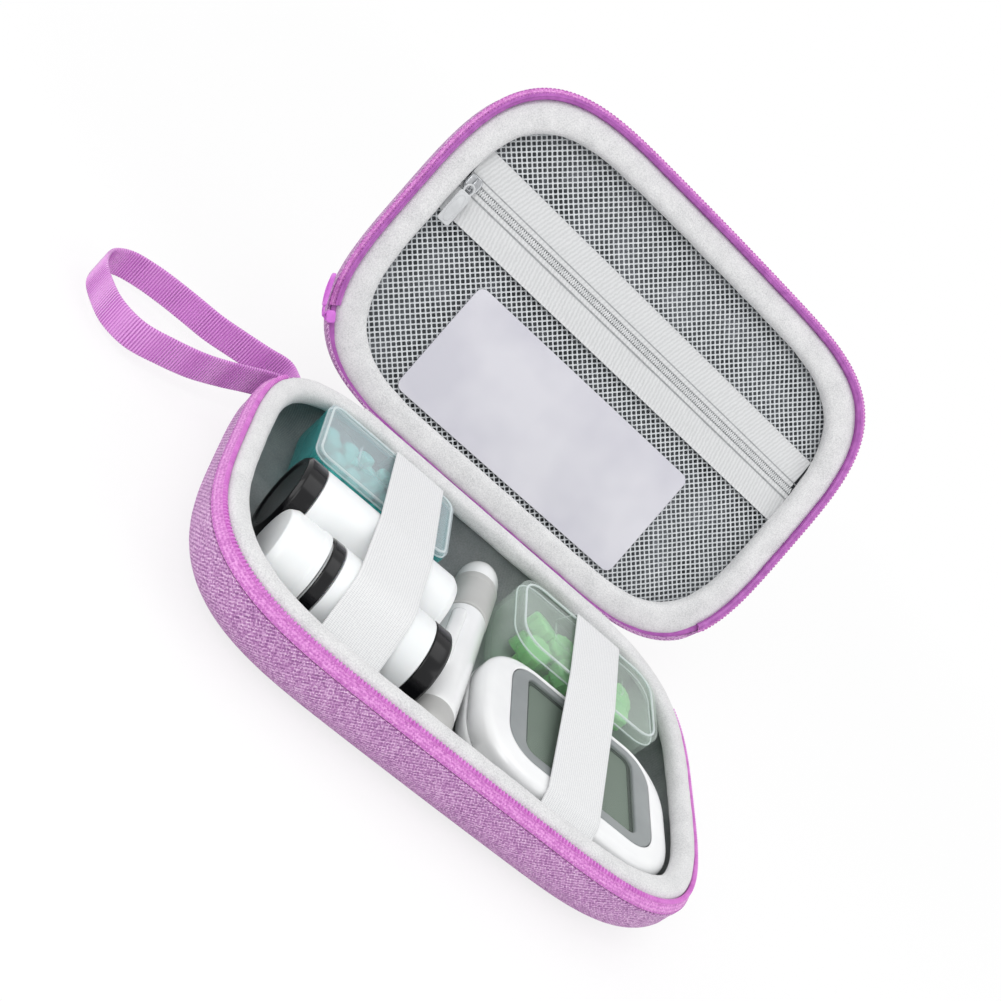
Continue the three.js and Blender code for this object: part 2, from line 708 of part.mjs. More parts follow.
function meterBackCase() {
  const edge = meter.split - clearance / 2;
  const outer = [...quarterRound(meter.bottomRound, 0, 0, 1), [0, edge]];
  const innerRound = meter.bottomRound - meter.wall;
  const inner = [...quarterRound(innerRound, meter.wall, meter.wall, 1), [meter.wall, edge]];
  const rings = [...outer, ...inner.reverse()].map(([inset, z]) => roundedRing(meter, inset, z));
  const { x, y, length, width } = batteryBay;
  return cut(loft(rings), slab(length, width, 4 * meter.wall, x, y, 0));
}

const bezelTop = meter.height;
const bezelBottom = bezelTop - bezel.thickness;

function meterFrontCase() {
  const edge = meter.split + clearance / 2;
  const ceiling = bezelBottom - clearance;
  const outer = [[0, edge], ...quarterRound(meter.topRound, 0, meter.height, -1).reverse()];
  const inner = [[meter.wall, ceiling], [meter.wall, edge]];
  const ring = ([inset, z]) => roundedRing(meter, inset, z);
  const window = (z) => roundedRing(bezel, -clearance, z, bezel.x, bezel.y);
  const body = loft([...outer.map(ring), window(meter.height), window(ceiling), ...inner.map(ring)], true);
  const pocket = (side) => slab(button.length + 2 * clearance, 2 * button.depth,
    button.height + 2 * clearance, side * button.fromCentre, -meter.width / 2, button.middle);
  return cut(body, pocket(-1), pocket(1));
}

function bezelGeometry() {
  const outer = (z) => roundedRing(bezel, 0, z, bezel.x, bezel.y);
  const inner = (z) => roundedRing(lens, -clearance, z, lens.x, lens.y);
  return loft([outer(bezelBottom), outer(bezelTop), inner(bezelTop), inner(bezelBottom)], true);
}

function meterGroup() {
  const boardBottom = meter.split + clearance / 2 + clearance;
  const boardInset = meter.wall + clearance;
  const displayBottom = boardBottom + board.thickness + clearance;
  const displayTop = bezelBottom - clearance;
  const lensPlan = (z) => roundedRing(lens, 0, z, lens.x, lens.y);
  const doorLength = batteryBay.length - batteryBay.travel - 2 * clearance;
  const doorX = batteryBay.x - batteryBay.travel / 2;
  const batteryMiddle = batteryBay.doorThickness + clearance + battery.thickness / 2;
  const buttonY = -meter.width / 2 - button.proud + button.depth / 2;
  const buttonAt = (side) => slab(button.length, button.depth, button.height,
    side * button.fromCentre, buttonY, button.middle);
  return placed(meterAt.x, meterAt.y, floorTop + clearance,
    part('meter_back_case', meterBackCase(), materials.whitePlastic),
    part('meter_front_case', meterFrontCase(), materials.whitePlastic),
    part('meter_bezel', bezelGeometry(), materials.greyPlastic),
    part('meter_lens', loft([lensPlan(bezelTop - lens.thickness), lensPlan(bezelTop)]), materials.glass),
    part('meter_display', slab(display.length, display.width, displayTop - displayBottom, lens.x, lens.y,
      (displayTop + displayBottom) / 2), materials.display),
    part('meter_circuit_board', loft([
      roundedRing(meter, boardInset, boardBottom),
      roundedRing(meter, boardInset, boardBottom + board.thickness),
    ]), materials.board),
    part('meter_battery', new THREE.CylinderGeometry(battery.radius, battery.radius, battery.thickness,
      roundSides).rotateX(Math.PI / 2).translate(batteryBay.x, batteryBay.y, batteryMiddle),
    materials.metal),
    part('meter_battery_door', slab(doorLength, batteryBay.width - 2 * clearance,
      batteryBay.doorThickness, doorX, batteryBay.y, batteryBay.doorThickness / 2),
    materials.whitePlastic),
    part('meter_left_button', buttonAt(-1), materials.greyPlastic),
    part('meter_right_button', buttonAt(1), materials.greyPlastic),
  );
}

// Lancing pen, with its origin at the tail and its axis along its own Y

function penButtonGeometry(grow) {
  const plan = {
    length: penButton.width + 2 * grow,
    width: penButtonEnd - penButton.start + 2 * grow,
    corner: penButton.width / 2 + grow,
  };
  const rings = [penButton.inner - 4 * grow, penButton.outer + 4 * grow].map((height) => (
    roundedRing(plan, 0, height, 0, (penButton.start + penButtonEnd) / 2)
  ));
  return loft(rings).rotateY(penButtonTurn);
}

function penGroup() {
  const bore = pen.radius - pen.wall;
  const rodBore = pen.rodRadius + clearance;
  const barrelStart = pen.sleeve + clearance;
  const floor = pen.rodTail - clearance;
  const tail = penTailShares.map(([out, up]) => [out * pen.radius, up * pen.sleeve]);
  const nose = penNoseShares.map(([out, up]) => [
    out * pen.noseRadius,
    penRingEnd + up * pen.noseLength,
  ]);
  const hole = pen.rodRadius / 2;
  const tube = (inner, outer, start, end) => turned([
    [inner, start], [outer, start], [outer, end], [inner, end], [inner, start],
  ]);
  const sleeve = turned([...tail, [rodBore, pen.sleeve], [rodBore, floor], [0, floor]]);
  const barrel = tube(bore, pen.radius, barrelStart, penRingStart);
  const noseCap = turned([
    ...nose, [hole, pen.length], [hole, pen.length - pen.wall],
    [pen.noseBore, pen.length - 3 * pen.wall], [pen.noseRadius - pen.wall, penRingEnd], nose[0],
  ]);
  const rodTip = pen.length - pen.rodSetback;
  const rod = turned([[0, pen.rodTail], [pen.rodRadius, pen.rodTail], [pen.rodRadius, rodTip],
    [0, rodTip]]);
  const group = placed(penTail.x, penTail.y, floorTop + clearance + pen.ringRadius,
    part('pen_cocking_sleeve', sleeve, materials.greyPlastic),
    part('pen_barrel', cut(barrel, penButtonGeometry(clearance)), materials.whitePlastic),
    part('pen_depth_ring', tube(bore, pen.ringRadius, penRingStart + clearance,
      penRingEnd - clearance), materials.greyPlastic),
    part('pen_nose_cap', noseCap, materials.whitePlastic),
    part('pen_release_button', penButtonGeometry(0), materials.whitePlastic),
    part('pen_lancet_holder', rod, materials.greyPlastic),
    part('pen_spring', tube(rodBore, pen.springOuter, barrelStart,
      pen.sleeve + pen.springLength), materials.metal),
  );
  group.rotation.z = -penTilt;
  return group;
}

// Test strip vial, with its axis along its own Y from the black end to the cap

function vialGroup(prefix) {
  const { radius, neckRadius, bore, edge } = vial;
  const fit = neckRadius + clearance;
  const endCup = turned([
    [0, 0], [radius - edge, 0], [radius, edge], [radius, vial.endCup], [fit, vial.endCup],
    [fit, vial.wall], [0, vial.wall],
  ]);
  const bodyStart = vial.wall + clearance;
  const shoulder = vial.endCup + clearance;
  const collarStart = vial.collarStart;
  const mouth = vial.capStart - clearance;
  const body = turned([
    [0, bodyStart], [neckRadius, bodyStart], [neckRadius, shoulder], [radius, shoulder],
    [radius, collarStart - clearance], [neckRadius, collarStart - clearance], [neckRadius, mouth],
    [bore, mouth], [bore, bodyStart + vial.wall], [0, bodyStart + vial.wall],
  ]);
  const collar = turned([
    [fit, collarStart], [radius, collarStart], [radius, mouth - clearance], [fit, mouth - clearance],
    [fit, collarStart],
  ]);
  const cap = turned([
    [0, vial.length - vial.wall], [bore, vial.length - vial.wall], [bore, vial.capStart],
    [radius, vial.capStart], [radius, vial.length - edge], [radius - edge, vial.length],
    [0, vial.length],
  ]);
  const group = new THREE.Group();
  group.add(
    part(`${prefix}_vial_end_cup`, endCup, materials.blackPlastic),
    part(`${prefix}_vial_body`, body, materials.whitePlastic),
    part(`${prefix}_vial_collar`, collar, materials.blackPlastic),
    part(`${prefix}_vial_cap`, cap, materials.whitePlastic),
  );
  return group;
}

function vialPair() {
  const rear = vialGroup('rear');
  rear.rotation.z = -Math.PI / 2;
  rear.position.set(vialX, rearVialY, vialZ);
  const front = vialGroup('front');
  front.rotation.z = Math.PI / 2;
  front.position.set(vialX + vial.length, frontVialY, vialZ);
  return [rear, front];
}

// Lancet box, with its origin in the middle of its underside

function trayGeometry(plan) {
  const split = plan.height - plan.lidThickness - clearance;
  const foot = boxFootShares.map(([inward, up]) => [inward * boxFoot.inset, up * boxFoot.height]);
  const outer = [...foot, [0, split]];
  const inner = foot.map(([inset, z]) => [inset + box.wall, z + box.wall]);
  inner.push([box.wall, split]);
  return loft([...outer, ...inner.reverse()].map(([inset, z]) => roundedRing(plan, inset, z)));
}

function boxLidGeometry(plan) {
  const bottom = plan.height - plan.lidThickness;
  const layers = [[0, bottom], [0, plan.height - box.edge], [box.edge, plan.height]];
  return loft(layers.map(([inset, z]) => roundedRing(plan, inset, z)));
}

// Lancets stand in rows on one thin plate.
function lancetsGeometry(plan) {
  const inset = boxFoot.inset + box.wall + clearance;
  const bottom = box.wall + clearance;
  const top = bottom + box.lancetPlate;
  const plate = loft([roundedRing(plan, inset, bottom), roundedRing(plan, inset, top)]);
  const room = (size) => size - 2 * inset - 2 * plan.lancetRadius - box.lancetMargin;
  const columns = Math.floor(room(plan.length) / plan.lancetPitch);
  const rows = Math.floor(room(plan.width) / plan.lancetPitch);
  const height = plan.lancetTop - bottom;
  const lancets = [];
  for (let row = 0; row <= rows; row++) {
    for (let column = 0; column <= columns; column++) {
      const x = (column - columns / 2) * plan.lancetPitch;
      const y = (row - rows / 2) * plan.lancetPitch;
      const body = new THREE.CylinderGeometry(plan.lancetRadius, plan.lancetRadius, height, 8);
      lancets.push(body.rotateX(Math.PI / 2).translate(x, y, bottom + height / 2));
    }
  }
  return joined(plate, ...lancets);
}

function boxGroup(prefix, plan, at, plastic, lancets) {
  return placed(at.x, at.y, floorTop + clearance,
    part(`${prefix}_box_tray`, trayGeometry(plan), plastic),
    part(`${prefix}_box_lid`, boxLidGeometry(plan), plastic),
    part(`${prefix}_box_lancets`, lancetsGeometry(plan), lancets),
  );
}

// The whole kit, lifted so that the case stands on Z = 0

const kit = placed(0, 0, base.depth,
  part('base_cover', coverGeometry(base, -1), materials.coverFabric),
  part('base_shell', foamGeometry(base, -1), materials.foam),
  part('base_lining', liningGeometry(base, -1), materials.lining),
  part('base_rim_roll', rollGeometry(baseRoll), materials.plush),
  part('base_zipper_tape', zipTapeGeometry(0, clearance - base.bendTop), materials.zipTape),
  part('base_zipper_coil', zipCoilGeometry(clearance), materials.zipCoil),
  part('hinge_spine', spineGeometry(), materials.plush),
  part('left_elastic_band', bandGeometry(leftBand, leftBandRounds), materials.elastic),
  part('right_elastic_band', bandGeometry(rightBand, rightBandRounds), materials.elastic),
  part('wrist_strap', strapGeometry(), materials.strap),
  lidGroup(),
  meterGroup(),
  penGroup(),
  ...vialPair(),
  boxGroup('left', leftBox, leftBoxAt, materials.tealPlastic, materials.tealPlastic),
  boxGroup('right', rightBox, rightBoxAt, materials.clearPlastic, materials.greenPlastic),
);

export default kit;
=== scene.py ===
"""The look of a soft shell glucose meter case, open, with its kit.

Lengths are in millimetres from the middle of the base's rim, X along the hinge, Y towards the hinge
and Z up, until a mesh is made. The lid's pieces are worked out on the shut lid and then turned open.
"""
import math

import bpy
import numpy as np
from mathutils import Matrix


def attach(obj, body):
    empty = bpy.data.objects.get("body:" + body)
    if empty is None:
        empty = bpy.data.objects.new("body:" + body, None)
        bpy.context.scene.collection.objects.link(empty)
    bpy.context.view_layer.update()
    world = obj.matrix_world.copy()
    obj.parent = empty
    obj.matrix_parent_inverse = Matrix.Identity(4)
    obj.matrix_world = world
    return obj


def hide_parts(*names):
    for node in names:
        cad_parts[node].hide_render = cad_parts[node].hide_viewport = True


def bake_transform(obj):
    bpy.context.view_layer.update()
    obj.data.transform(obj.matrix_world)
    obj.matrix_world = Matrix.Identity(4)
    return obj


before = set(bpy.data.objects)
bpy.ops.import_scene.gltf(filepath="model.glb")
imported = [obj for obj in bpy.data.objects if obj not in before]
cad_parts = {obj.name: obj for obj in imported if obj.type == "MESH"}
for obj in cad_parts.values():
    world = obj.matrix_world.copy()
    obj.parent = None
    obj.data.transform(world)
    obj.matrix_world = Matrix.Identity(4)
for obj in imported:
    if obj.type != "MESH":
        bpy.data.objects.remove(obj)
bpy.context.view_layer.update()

MM = 0.001

# Camera, at the photograph's place and turned on its side as the photograph is

CAMERA_PLACE = (-0.1689, -0.3806, 0.2296)
CAMERA_RIGHT = (0.7126, 0.0423, 0.7003)
CAMERA_DOWN = (0.6247, -0.4924, -0.6061)
CAMERA_FORWARD = (0.3192, 0.8694, -0.3773)
CAMERA_LENS = 51.0


def add_camera():
    data = bpy.data.cameras.new("camera")
    data.lens = CAMERA_LENS
    data.sensor_width = 36
    data.clip_start = 0.01
    camera = bpy.data.objects.new("camera", data)
    bpy.context.scene.collection.objects.link(camera)
    columns = [CAMERA_RIGHT, [-v for v in CAMERA_DOWN], [-v for v in CAMERA_FORWARD], CAMERA_PLACE]
    matrix = np.eye(4)
    matrix[:3, :] = np.array(columns).T
    camera.matrix_world = Matrix(matrix.tolist())
    bpy.context.scene.camera = camera


add_camera()
scene = bpy.context.scene
scene.view_settings.view_transform = "Standard"

# The case's driving values, the same as the solid model's

RIM_LENGTH, RIM_WIDTH, RIM_BOW = 200.0, 135.0, 2.0
RIM_EXPONENT = 3.6
WALL_STAND, BACK_SHIFT, TRIM_SHIFT = 2.5, 2.1, 0.5
END_RADIUS = RIM_WIDTH / 2
END_CENTRE = (RIM_LENGTH - RIM_WIDTH) / 2
BASE = dict(depth=26, bend_top=7.7, bend_width=22, inner_width=13, inner_depth=13, inner_rim=4.95,
            back_rim=1.3, hem=3.0)
LID = dict(depth=25.6, bend_top=12.5, bend_width=20, inner_width=15, inner_depth=8.8, inner_rim=10.5,
           back_rim=3.6, hem=4.9)
LID_LIP = 4.0
COVER, FOAM, LINING, GAP = 0.8, 2.4, 0.8, 0.3
WALL = COVER + FOAM + LINING + 2 * GAP
RIM_HEIGHT = BASE["depth"]
HINGE_Y = END_RADIUS + 0.74
OPEN_ANGLE = math.radians(114.4)
FLOOR = WALL - BASE["depth"]
STAND = FLOOR + GAP

# Seam ends of the zip, as places along the rim's ends
ZIP_END = 0.715
HEM_END = 0.82

COLUMNS = 480


# Mesh makers

def made(name, shape, material, body, stands_for=(), sharp=38):
    """A closed mesh from a shape: points in millimetres, quads, triangles and a UV for each face corner.

    Faces are turned round where the volume that they enclose would be negative.
    """
    points, quads, tris, uv = shape
    split = np.concatenate([quads[:, [0, 1, 2]], quads[:, [0, 2, 3]], tris])
    a, b, c = (points[split[:, i]] for i in range(3))
    if np.einsum("ij,ij->", a, np.cross(b, c)) < 0:
        quads, tris, uv = quads[:, ::-1], tris[:, ::-1], [part[:, ::-1] for part in uv]
    mesh = bpy.data.meshes.new(name)
    mesh.vertices.add(len(points))
    placed = (points + [0, 0, RIM_HEIGHT]) * MM
    mesh.vertices.foreach_set("co", placed.astype(np.float32).ravel())
    corners = np.concatenate([quads.ravel(), tris.ravel()])
    starts = np.concatenate([np.arange(len(quads)) * 4, quads.size + np.arange(len(tris)) * 3])
    mesh.loops.add(len(corners))
    mesh.loops.foreach_set("vertex_index", corners.astype(np.int32))
    mesh.polygons.add(len(starts))
    mesh.polygons.foreach_set("loop_start", starts.astype(np.int32))
    mesh.update(calc_edges=True)
    flat = np.concatenate([part.reshape(-1, 2) for part in uv])
    mesh.uv_layers.new(name="cloth").data.foreach_set("uv", flat.astype(np.float32).ravel())
    mesh.validate()
    mesh.shade_smooth()
    mesh.set_sharp_from_angle(angle=math.radians(sharp))
    piece = bpy.data.objects.new(name, mesh)
    bpy.context.scene.collection.objects.link(piece)
    mesh.materials.append(material)
    if stands_for:
        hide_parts(*stands_for)
    if body:
        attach(piece, body)
    return piece


def skin(grid, loop_rows=False, loop_columns=True, caps=True, flat_rows=()):
    """Quads over a grid of points [row, column], with fans that close the first and last rows.

    The UV is the length along the longest row and the mean length down the columns, in millimetres.
    Rows named in flat_rows, and the fans, take the plain X and Y instead.
    """
    rows, columns = grid.shape[:2]
    r = np.arange(rows if loop_rows else rows - 1)[:, None]
    c = np.arange(columns if loop_columns else columns - 1)[None, :]
    corner = [(r, c), (r, c + 1), (r + 1, c + 1), (r + 1, c)]
    quads = np.stack([(a % rows) * columns + b % columns for a, b in corner], -1).reshape(-1, 4)
    ring_steps = np.linalg.norm(np.roll(grid, -1, 1) - grid, axis=2)
    longest = ring_steps[ring_steps.sum(1).argmax()]
    u = np.concatenate([[0], longest.cumsum()])
    down = np.linalg.norm(np.roll(grid, -1, 0) - grid, axis=2).mean(1)
    v = np.concatenate([[0], down.cumsum()])
    uv = np.stack([np.stack(np.broadcast_arrays(u[b], v[a]), -1) for a, b in corner], -2)
    for row in flat_rows:
        for k, (a, b) in enumerate(corner):
            uv[row, :, k] = grid[a[row] % rows, b[0] % columns, :2]
    uv = uv.reshape(-1, 4, 2)
    points = grid.reshape(-1, 3)
    tris = np.zeros((0, 3), int)
    if caps and not loop_rows and loop_columns:
        first, last = np.arange(columns), (rows - 1) * columns + np.arange(columns)
        middle = len(points)
        points = np.concatenate([points, grid[[0, -1]].mean(1)])
        fan_a = np.stack([np.roll(first, -1), first, np.full(columns, middle)], 1)
        fan_b = np.stack([last, np.roll(last, -1), np.full(columns, middle + 1)], 1)
        tris = np.concatenate([fan_a, fan_b])
    return points, quads, tris, [uv, points[tris][:, :, :2]]


def joined(parts):
    """Several (points, quads, tris, uv) as one."""
    offsets = np.cumsum([0] + [len(p[0]) for p in parts[:-1]])
    points = np.concatenate([p[0] for p in parts])
    quads = np.concatenate([p[1] + o for p, o in zip(parts, offsets)])
    tris = np.concatenate([p[2] + o for p, o in zip(parts, offsets)])
    uv = [np.concatenate([p[3][k] for p in parts]) for k in (0, 1)]
    return points, quads, tris, uv


def copies(shape, places, frames):
    """One small shape at many places. frames are 3 x 3, with the shape's own axes as rows."""
    points, quads, tris, uv = shape
    count, size = len(places), len(points)
    moved = np.einsum("vi,nij->nvj", points, frames) + places[:, None, :]
    shift = (np.arange(count) * size)[:, None, None]
    return (moved.reshape(-1, 3), (quads[None] + shift).reshape(-1, 4), (tris[None] + shift).reshape(-1, 3),
            [np.tile(uv[0], (count, 1, 1)), np.tile(uv[1], (count, 1, 1))])


def turned(profile, soft, sides=96, steps=4):
    """A profile of (radius, height) points turned about Z, closed where it starts and ends at the axis.

    Each corner is swapped for a quadratic curve that starts soft millimetres before it.
    """
    profile = np.array(profile, float)
    ring = profile[:, 0].min() > 0
    rows = []
    for i, point in enumerate(profile):
        if not ring and i in (0, len(profile) - 1):
            rows.append(point)
            continue
        before, after = profile[i - 1] - point, profile[(i + 1) % len(profile)] - point
        reach = min(soft, np.linalg.norm(before) * 0.48, np.linalg.norm(after) * 0.48)
        a, b = (point + way / np.linalg.norm(way) * reach for way in (before, after))
        for t in np.linspace(0, 1, steps):
            rows.append((1 - t) ** 2 * a + 2 * t * (1 - t) * point + t ** 2 * b)
    rows = np.array(rows)
    angle = np.arange(sides) / sides * 2 * np.pi
    grid = np.empty((len(rows), sides, 3))
    grid[:, :, :2] = rows[:, None, :1] * np.stack([np.cos(angle), np.sin(angle)], 1)
    grid[:, :, 2] = rows[:, None, 1]
    if ring:
        return skin(grid, loop_rows=True)
    shape = skin(grid[1:-1])
    shape[0][-2:, 2] = rows[[0, -1], 1]
    return shape


def plan_row(plan, inset, height, shift=(0, 0), exponent=2.3):
    """A rectangle whose corners are superellipse quarters, drawn in by an inset, as points at a height.

    plan is (length, width, corner).
    """
    length, width, corner = plan
    corner = max(corner - inset, corner * 0.2, 0.05)
    turn = np.linspace(0, np.pi / 2, 17)
    near, far = (side.clip(0) ** (2 / exponent) * corner for side in (np.cos(turn), np.sin(turn)))
    x, y = length / 2 - inset - corner, width / 2 - inset - corner
    ring = np.concatenate([np.stack(quarter, 1) for quarter in (
        (x + near, y + far), (-x - far, y + near), (-x - near, -y - far), (x + far, -y - near))])
    return np.column_stack([ring + shift, np.full(len(ring), height)])


def block(plan, layers, shift=(0, 0), exponent=2.3):
    """A rounded plan stacked through (inset, height) layers."""
    return skin(np.array([plan_row(plan, inset, height, shift, exponent) for inset, height in layers]))


def edged(bottom, top, edge):
    """Layers of a block from bottom to top with quarter round edges."""
    turn = np.linspace(0, math.pi / 2, 5)
    low = [(edge * (1 - math.sin(t)), bottom + edge * (1 - math.cos(t))) for t in turn]
    return low + [(edge * (1 - math.cos(t)), top - edge * (1 - math.sin(t))) for t in turn]


def moved(shape, x=0.0, y=0.0, z=0.0, turn=None):
    """A shape turned by a 3 x 3 matrix and then moved."""
    points, quads, tris, uv = shape
    if turn is not None:
        points = points @ np.array(turn).T
    return points + [x, y, z], quads, tris, uv


def about(axis, degrees):
    """The matrix that turns by an angle about one of the axes."""
    c, s = math.cos(math.radians(degrees)), math.sin(math.radians(degrees))
    return np.array({"x": [[1, 0, 0], [0, c, -s], [0, s, c]], "y": [[c, 0, s], [0, 1, 0], [-s, 0, c]],
                     "z": [[c, -s, 0], [s, c, 0], [0, 0, 1]]}[axis])


def opened(shape):
    """A shape on the shut lid turned about the hinge line until the lid stands open."""
    points, quads, tris, uv = shape
    c, s = math.cos(OPEN_ANGLE), math.sin(OPEN_ANGLE)
    dy, z = points[:, 1] - HINGE_Y, points[:, 2]
    turned_points = np.stack([points[:, 0], HINGE_Y + dy * c + z * s, -dy * s + z * c], 1)
    return turned_points, quads, tris, uv


def noise1(values, seed, octaves=3):
    """A smooth wandering value between -1 and 1 at each place: a seeded sum of sines."""
    rng = np.random.default_rng(seed)
    total = np.zeros_like(values, float)
    for k in range(octaves):
        total += np.sin(values * rng.uniform(0.7, 1.3) * 1.9 ** k + rng.uniform(0, 7)) / 1.6 ** k
    return total / 2


# The outline of the rims

def rim_template(count):
    """Even steps along the rim, each with its corner's centre and its place on a unit superellipse.

    A quarter is (cos t, sin t) raised to 2 over the exponent. The straights come from blending the
    two corner centres.
    """
    turn = np.linspace(0, np.pi / 2, 600)
    power = 2 / RIM_EXPONENT
    near, far = np.cos(turn).clip(0) ** power, np.sin(turn) ** power
    ones = np.ones_like(near)
    centre = np.concatenate([ones, -ones, -ones, ones]) * END_CENTRE
    across = np.concatenate([near, -far, -near, far])
    along = np.concatenate([far, near, -far, -near])
    x, y = centre + END_RADIUS * across, END_RADIUS * along
    run = np.concatenate([[0], np.hypot(np.diff(x), np.diff(y)).cumsum()])
    even = np.arange(count) / count * run[-1]
    return [np.interp(even, run, values) for values in (centre, across, along)]


CENTRE, ACROSS, ALONG = rim_template(COLUMNS)
ZIPPED = ALONG <= ZIP_END
FIRST_ZIPPED = int(np.flatnonzero(ZIPPED & ~np.roll(ZIPPED, 1))[0])
ZIP_ORDER = (np.arange(ZIPPED.sum()) + FIRST_ZIPPED) % COLUMNS


def rim(stand, height, back_shift=BACK_SHIFT):
    """One ring round the rim, stand-off and height in millimetres, each one number or one a column."""
    stand = np.broadcast_to(stand, (COLUMNS,))
    x = CENTRE + (END_RADIUS + stand) * ACROSS
    reach = END_RADIUS + stand - np.where(ALONG > 0, back_shift, 0)
    bow = np.where(ALONG < 0, RIM_BOW / END_RADIUS * (1 - (x / (RIM_LENGTH / 2 + stand)) ** 2), 0)
    return np.stack([x, reach * ALONG * (1 + bow), np.broadcast_to(height, (COLUMNS,))], 1)


def hem(zipped, back):
    """The height of a cover's edge: one value along the zip, eased into another along the hinge."""
    t = np.clip((ALONG - ZIP_END) / (HEM_END - ZIP_END), 0, 1)
    return zipped + (back - zipped) * t * t * (3 - 2 * t)


def rim_y(x, stand, back_shift):
    across = max(abs(x) - END_CENTRE, 0) / (END_RADIUS + stand)
    return (END_RADIUS + stand - back_shift) * (1 - across ** RIM_EXPONENT) ** (1 / RIM_EXPONENT)


# Materials

def linear(color):
    """An sRGB hex colour as linear RGBA."""
    parts = [int(color[i:i + 2], 16) / 255 for i in (1, 3, 5)]
    return [p / 12.92 if p <= 0.04045 else ((p + 0.055) / 1.055) ** 2.4 for p in parts] + [1.0]


def node(tree, kind, sockets=(), out=0, stops=(), **settings):
    """Adds a node with its settings, sets or links its inputs, and gives one of its outputs, or all of them.

    sockets holds the first inputs in order, or inputs by name. stops are a ramp's places and hex colours.
    """
    added = tree.nodes.new("ShaderNode" + kind)
    for key, value in settings.items():
        setattr(added, key, value)
    for key, value in sockets.items() if isinstance(sockets, dict) else enumerate(sockets):
        if isinstance(value, bpy.types.NodeSocket):
            tree.links.new(value, added.inputs[key])
        else:
            added.inputs[key].default_value = value
    for _ in stops[2:]:
        added.color_ramp.elements.new(0.5)
    for k, (place, color) in enumerate(stops):
        added.color_ramp.elements[k].position = place
        added.color_ramp.elements[k].color = linear(color)
    return added.outputs if out is None else added.outputs[out]


def waves(tree, place, pitch):
    """The sine of a place, one wave in each pitch."""
    turn = node(tree, "Math", [place, 2 * math.pi / pitch], operation="MULTIPLY")
    return node(tree, "Math", [turn], operation="SINE")


def mixed(tree, start, *parts):
    """A start value plus each part's socket times its share."""
    for socket, share in parts:
        start = node(tree, "Math", [socket, share, start], operation="MULTIPLY_ADD")
    return start


def finish_of(name, roughness, height, color, bump, **extra):
    """A material on the principled shader. height and color add their nodes and give the last socket.

    bump is (strength, depth in millimetres).
    """
    material = bpy.data.materials.new(name)
    material.use_nodes = True
    tree = material.node_tree
    inputs = tree.nodes["Principled BSDF"].inputs
    inputs["Roughness"].default_value = roughness
    for key, value in extra.items():
        inputs[key.replace("_", " ")].default_value = value
    tree.links.new(color(tree), inputs["Base Color"])
    strength, depth = bump
    relief = node(tree, "Bump", {"Height": height(tree), "Strength": strength, "Distance": depth * MM})
    tree.links.new(relief, inputs["Normal"])
    return material


def grained(name, roughness, tones, patches, grain, stretch=(1, 1, 1), **extra):
    """A material whose colour drifts between tones and whose skin has a fine grain, each from a noise.

    tones are (place, hex colour), patches is (patches per mm, detail) and grain is (grains per mm, bump
    strength, bump depth in mm). stretch scales the space along each axis.
    """
    def noise_over(tree, per_mm, detail):
        space = node(tree, "Mapping", {"Vector": node(tree, "TexCoord", out="Object"), "Scale": stretch})
        return node(tree, "TexNoise", {"Vector": space, "Scale": per_mm / MM, "Detail": detail,
                                       "Roughness": 0.6})
    return finish_of(name, roughness, lambda tree: noise_over(tree, grain[0], 3),
                     lambda tree: node(tree, "ValToRGB", [noise_over(tree, *patches)], stops=tones),
                     grain[1:], **extra)


# Heathered polyester canvas, a diagonal twill of a light and a dark yarn: it is matte and shows short slanted
# specks. The yarn is drawn 0.42 mm wide, about twice the real one, so that it shows.
THREAD, FLOAT, TWILL = 0.42, 0.5, 1.15
YARN_SLANT, TWILL_SLANT = math.radians(38), math.radians(52)


def yarn_grid(tree, operation):
    """The cell, or the place in its cell, on a grid of yarns that lies slanted on the cloth."""
    place = node(tree, "Mapping", {"Vector": node(tree, "TexCoord", out="UV"), "Rotation": (0, 0, YARN_SLANT),
                                   "Scale": (1 / THREAD, 1 / FLOAT, 1)})
    return node(tree, "VectorMath", [place], operation=operation)


def canvas_height(tree):
    """Each float of yarn stands up as the product of two half sines."""
    x, y, _ = node(tree, "SeparateXYZ", [yarn_grid(tree, "FRACTION")], out=None)
    return node(tree, "Math", [waves(tree, x, 2), waves(tree, y, 2)], operation="MULTIPLY")


def canvas_color(tree):
    """A dye of its own for each float, on twill lines, mottles a few millimetres wide and broad clouds, with
    painted shade: each float lighter on its crown and darker at its edges.
    """
    place = node(tree, "TexCoord", out="UV")
    speck = node(tree, "TexWhiteNoise", [yarn_grid(tree, "FLOOR")], noise_dimensions="2D")
    mottle, cloud = [node(tree, "TexNoise", {"Vector": place, "Scale": per_mm, "Detail": detail,
                                             "Roughness": 0.6}) for per_mm, detail in ((0.22, 4), (0.03, 2))]
    slanted = node(tree, "Mapping", {"Vector": place, "Rotation": (0, 0, TWILL_SLANT)})
    twill = waves(tree, node(tree, "SeparateXYZ", [slanted]), TWILL)
    # The floats' relief goes into the colour as painted shade.
    shade = mixed(tree, 0.04, (speck, 0.42), (twill, 0.12), (mottle, 0.1), (cloud, 0.1),
                  (canvas_height(tree), 0.45))
    return node(tree, "ValToRGB", [shade],
                stops=[(0.1, "#582962"), (0.36, "#A060A2"), (0.62, "#D092CE"), (0.98, "#FDE8FA")])


cover_cloth = finish_of("heathered polyester canvas", 0.85, canvas_height, canvas_color, (0.7, 0.2),
                        Sheen_Weight=0.15, Sheen_Roughness=0.5)

# Knitted zip tape: chains of loops run along it, each loop half a millimetre and a little lighter or darker.
LOOP, LOOP_PITCH, CHAIN_PITCH = 0.5, 0.7, 1.1


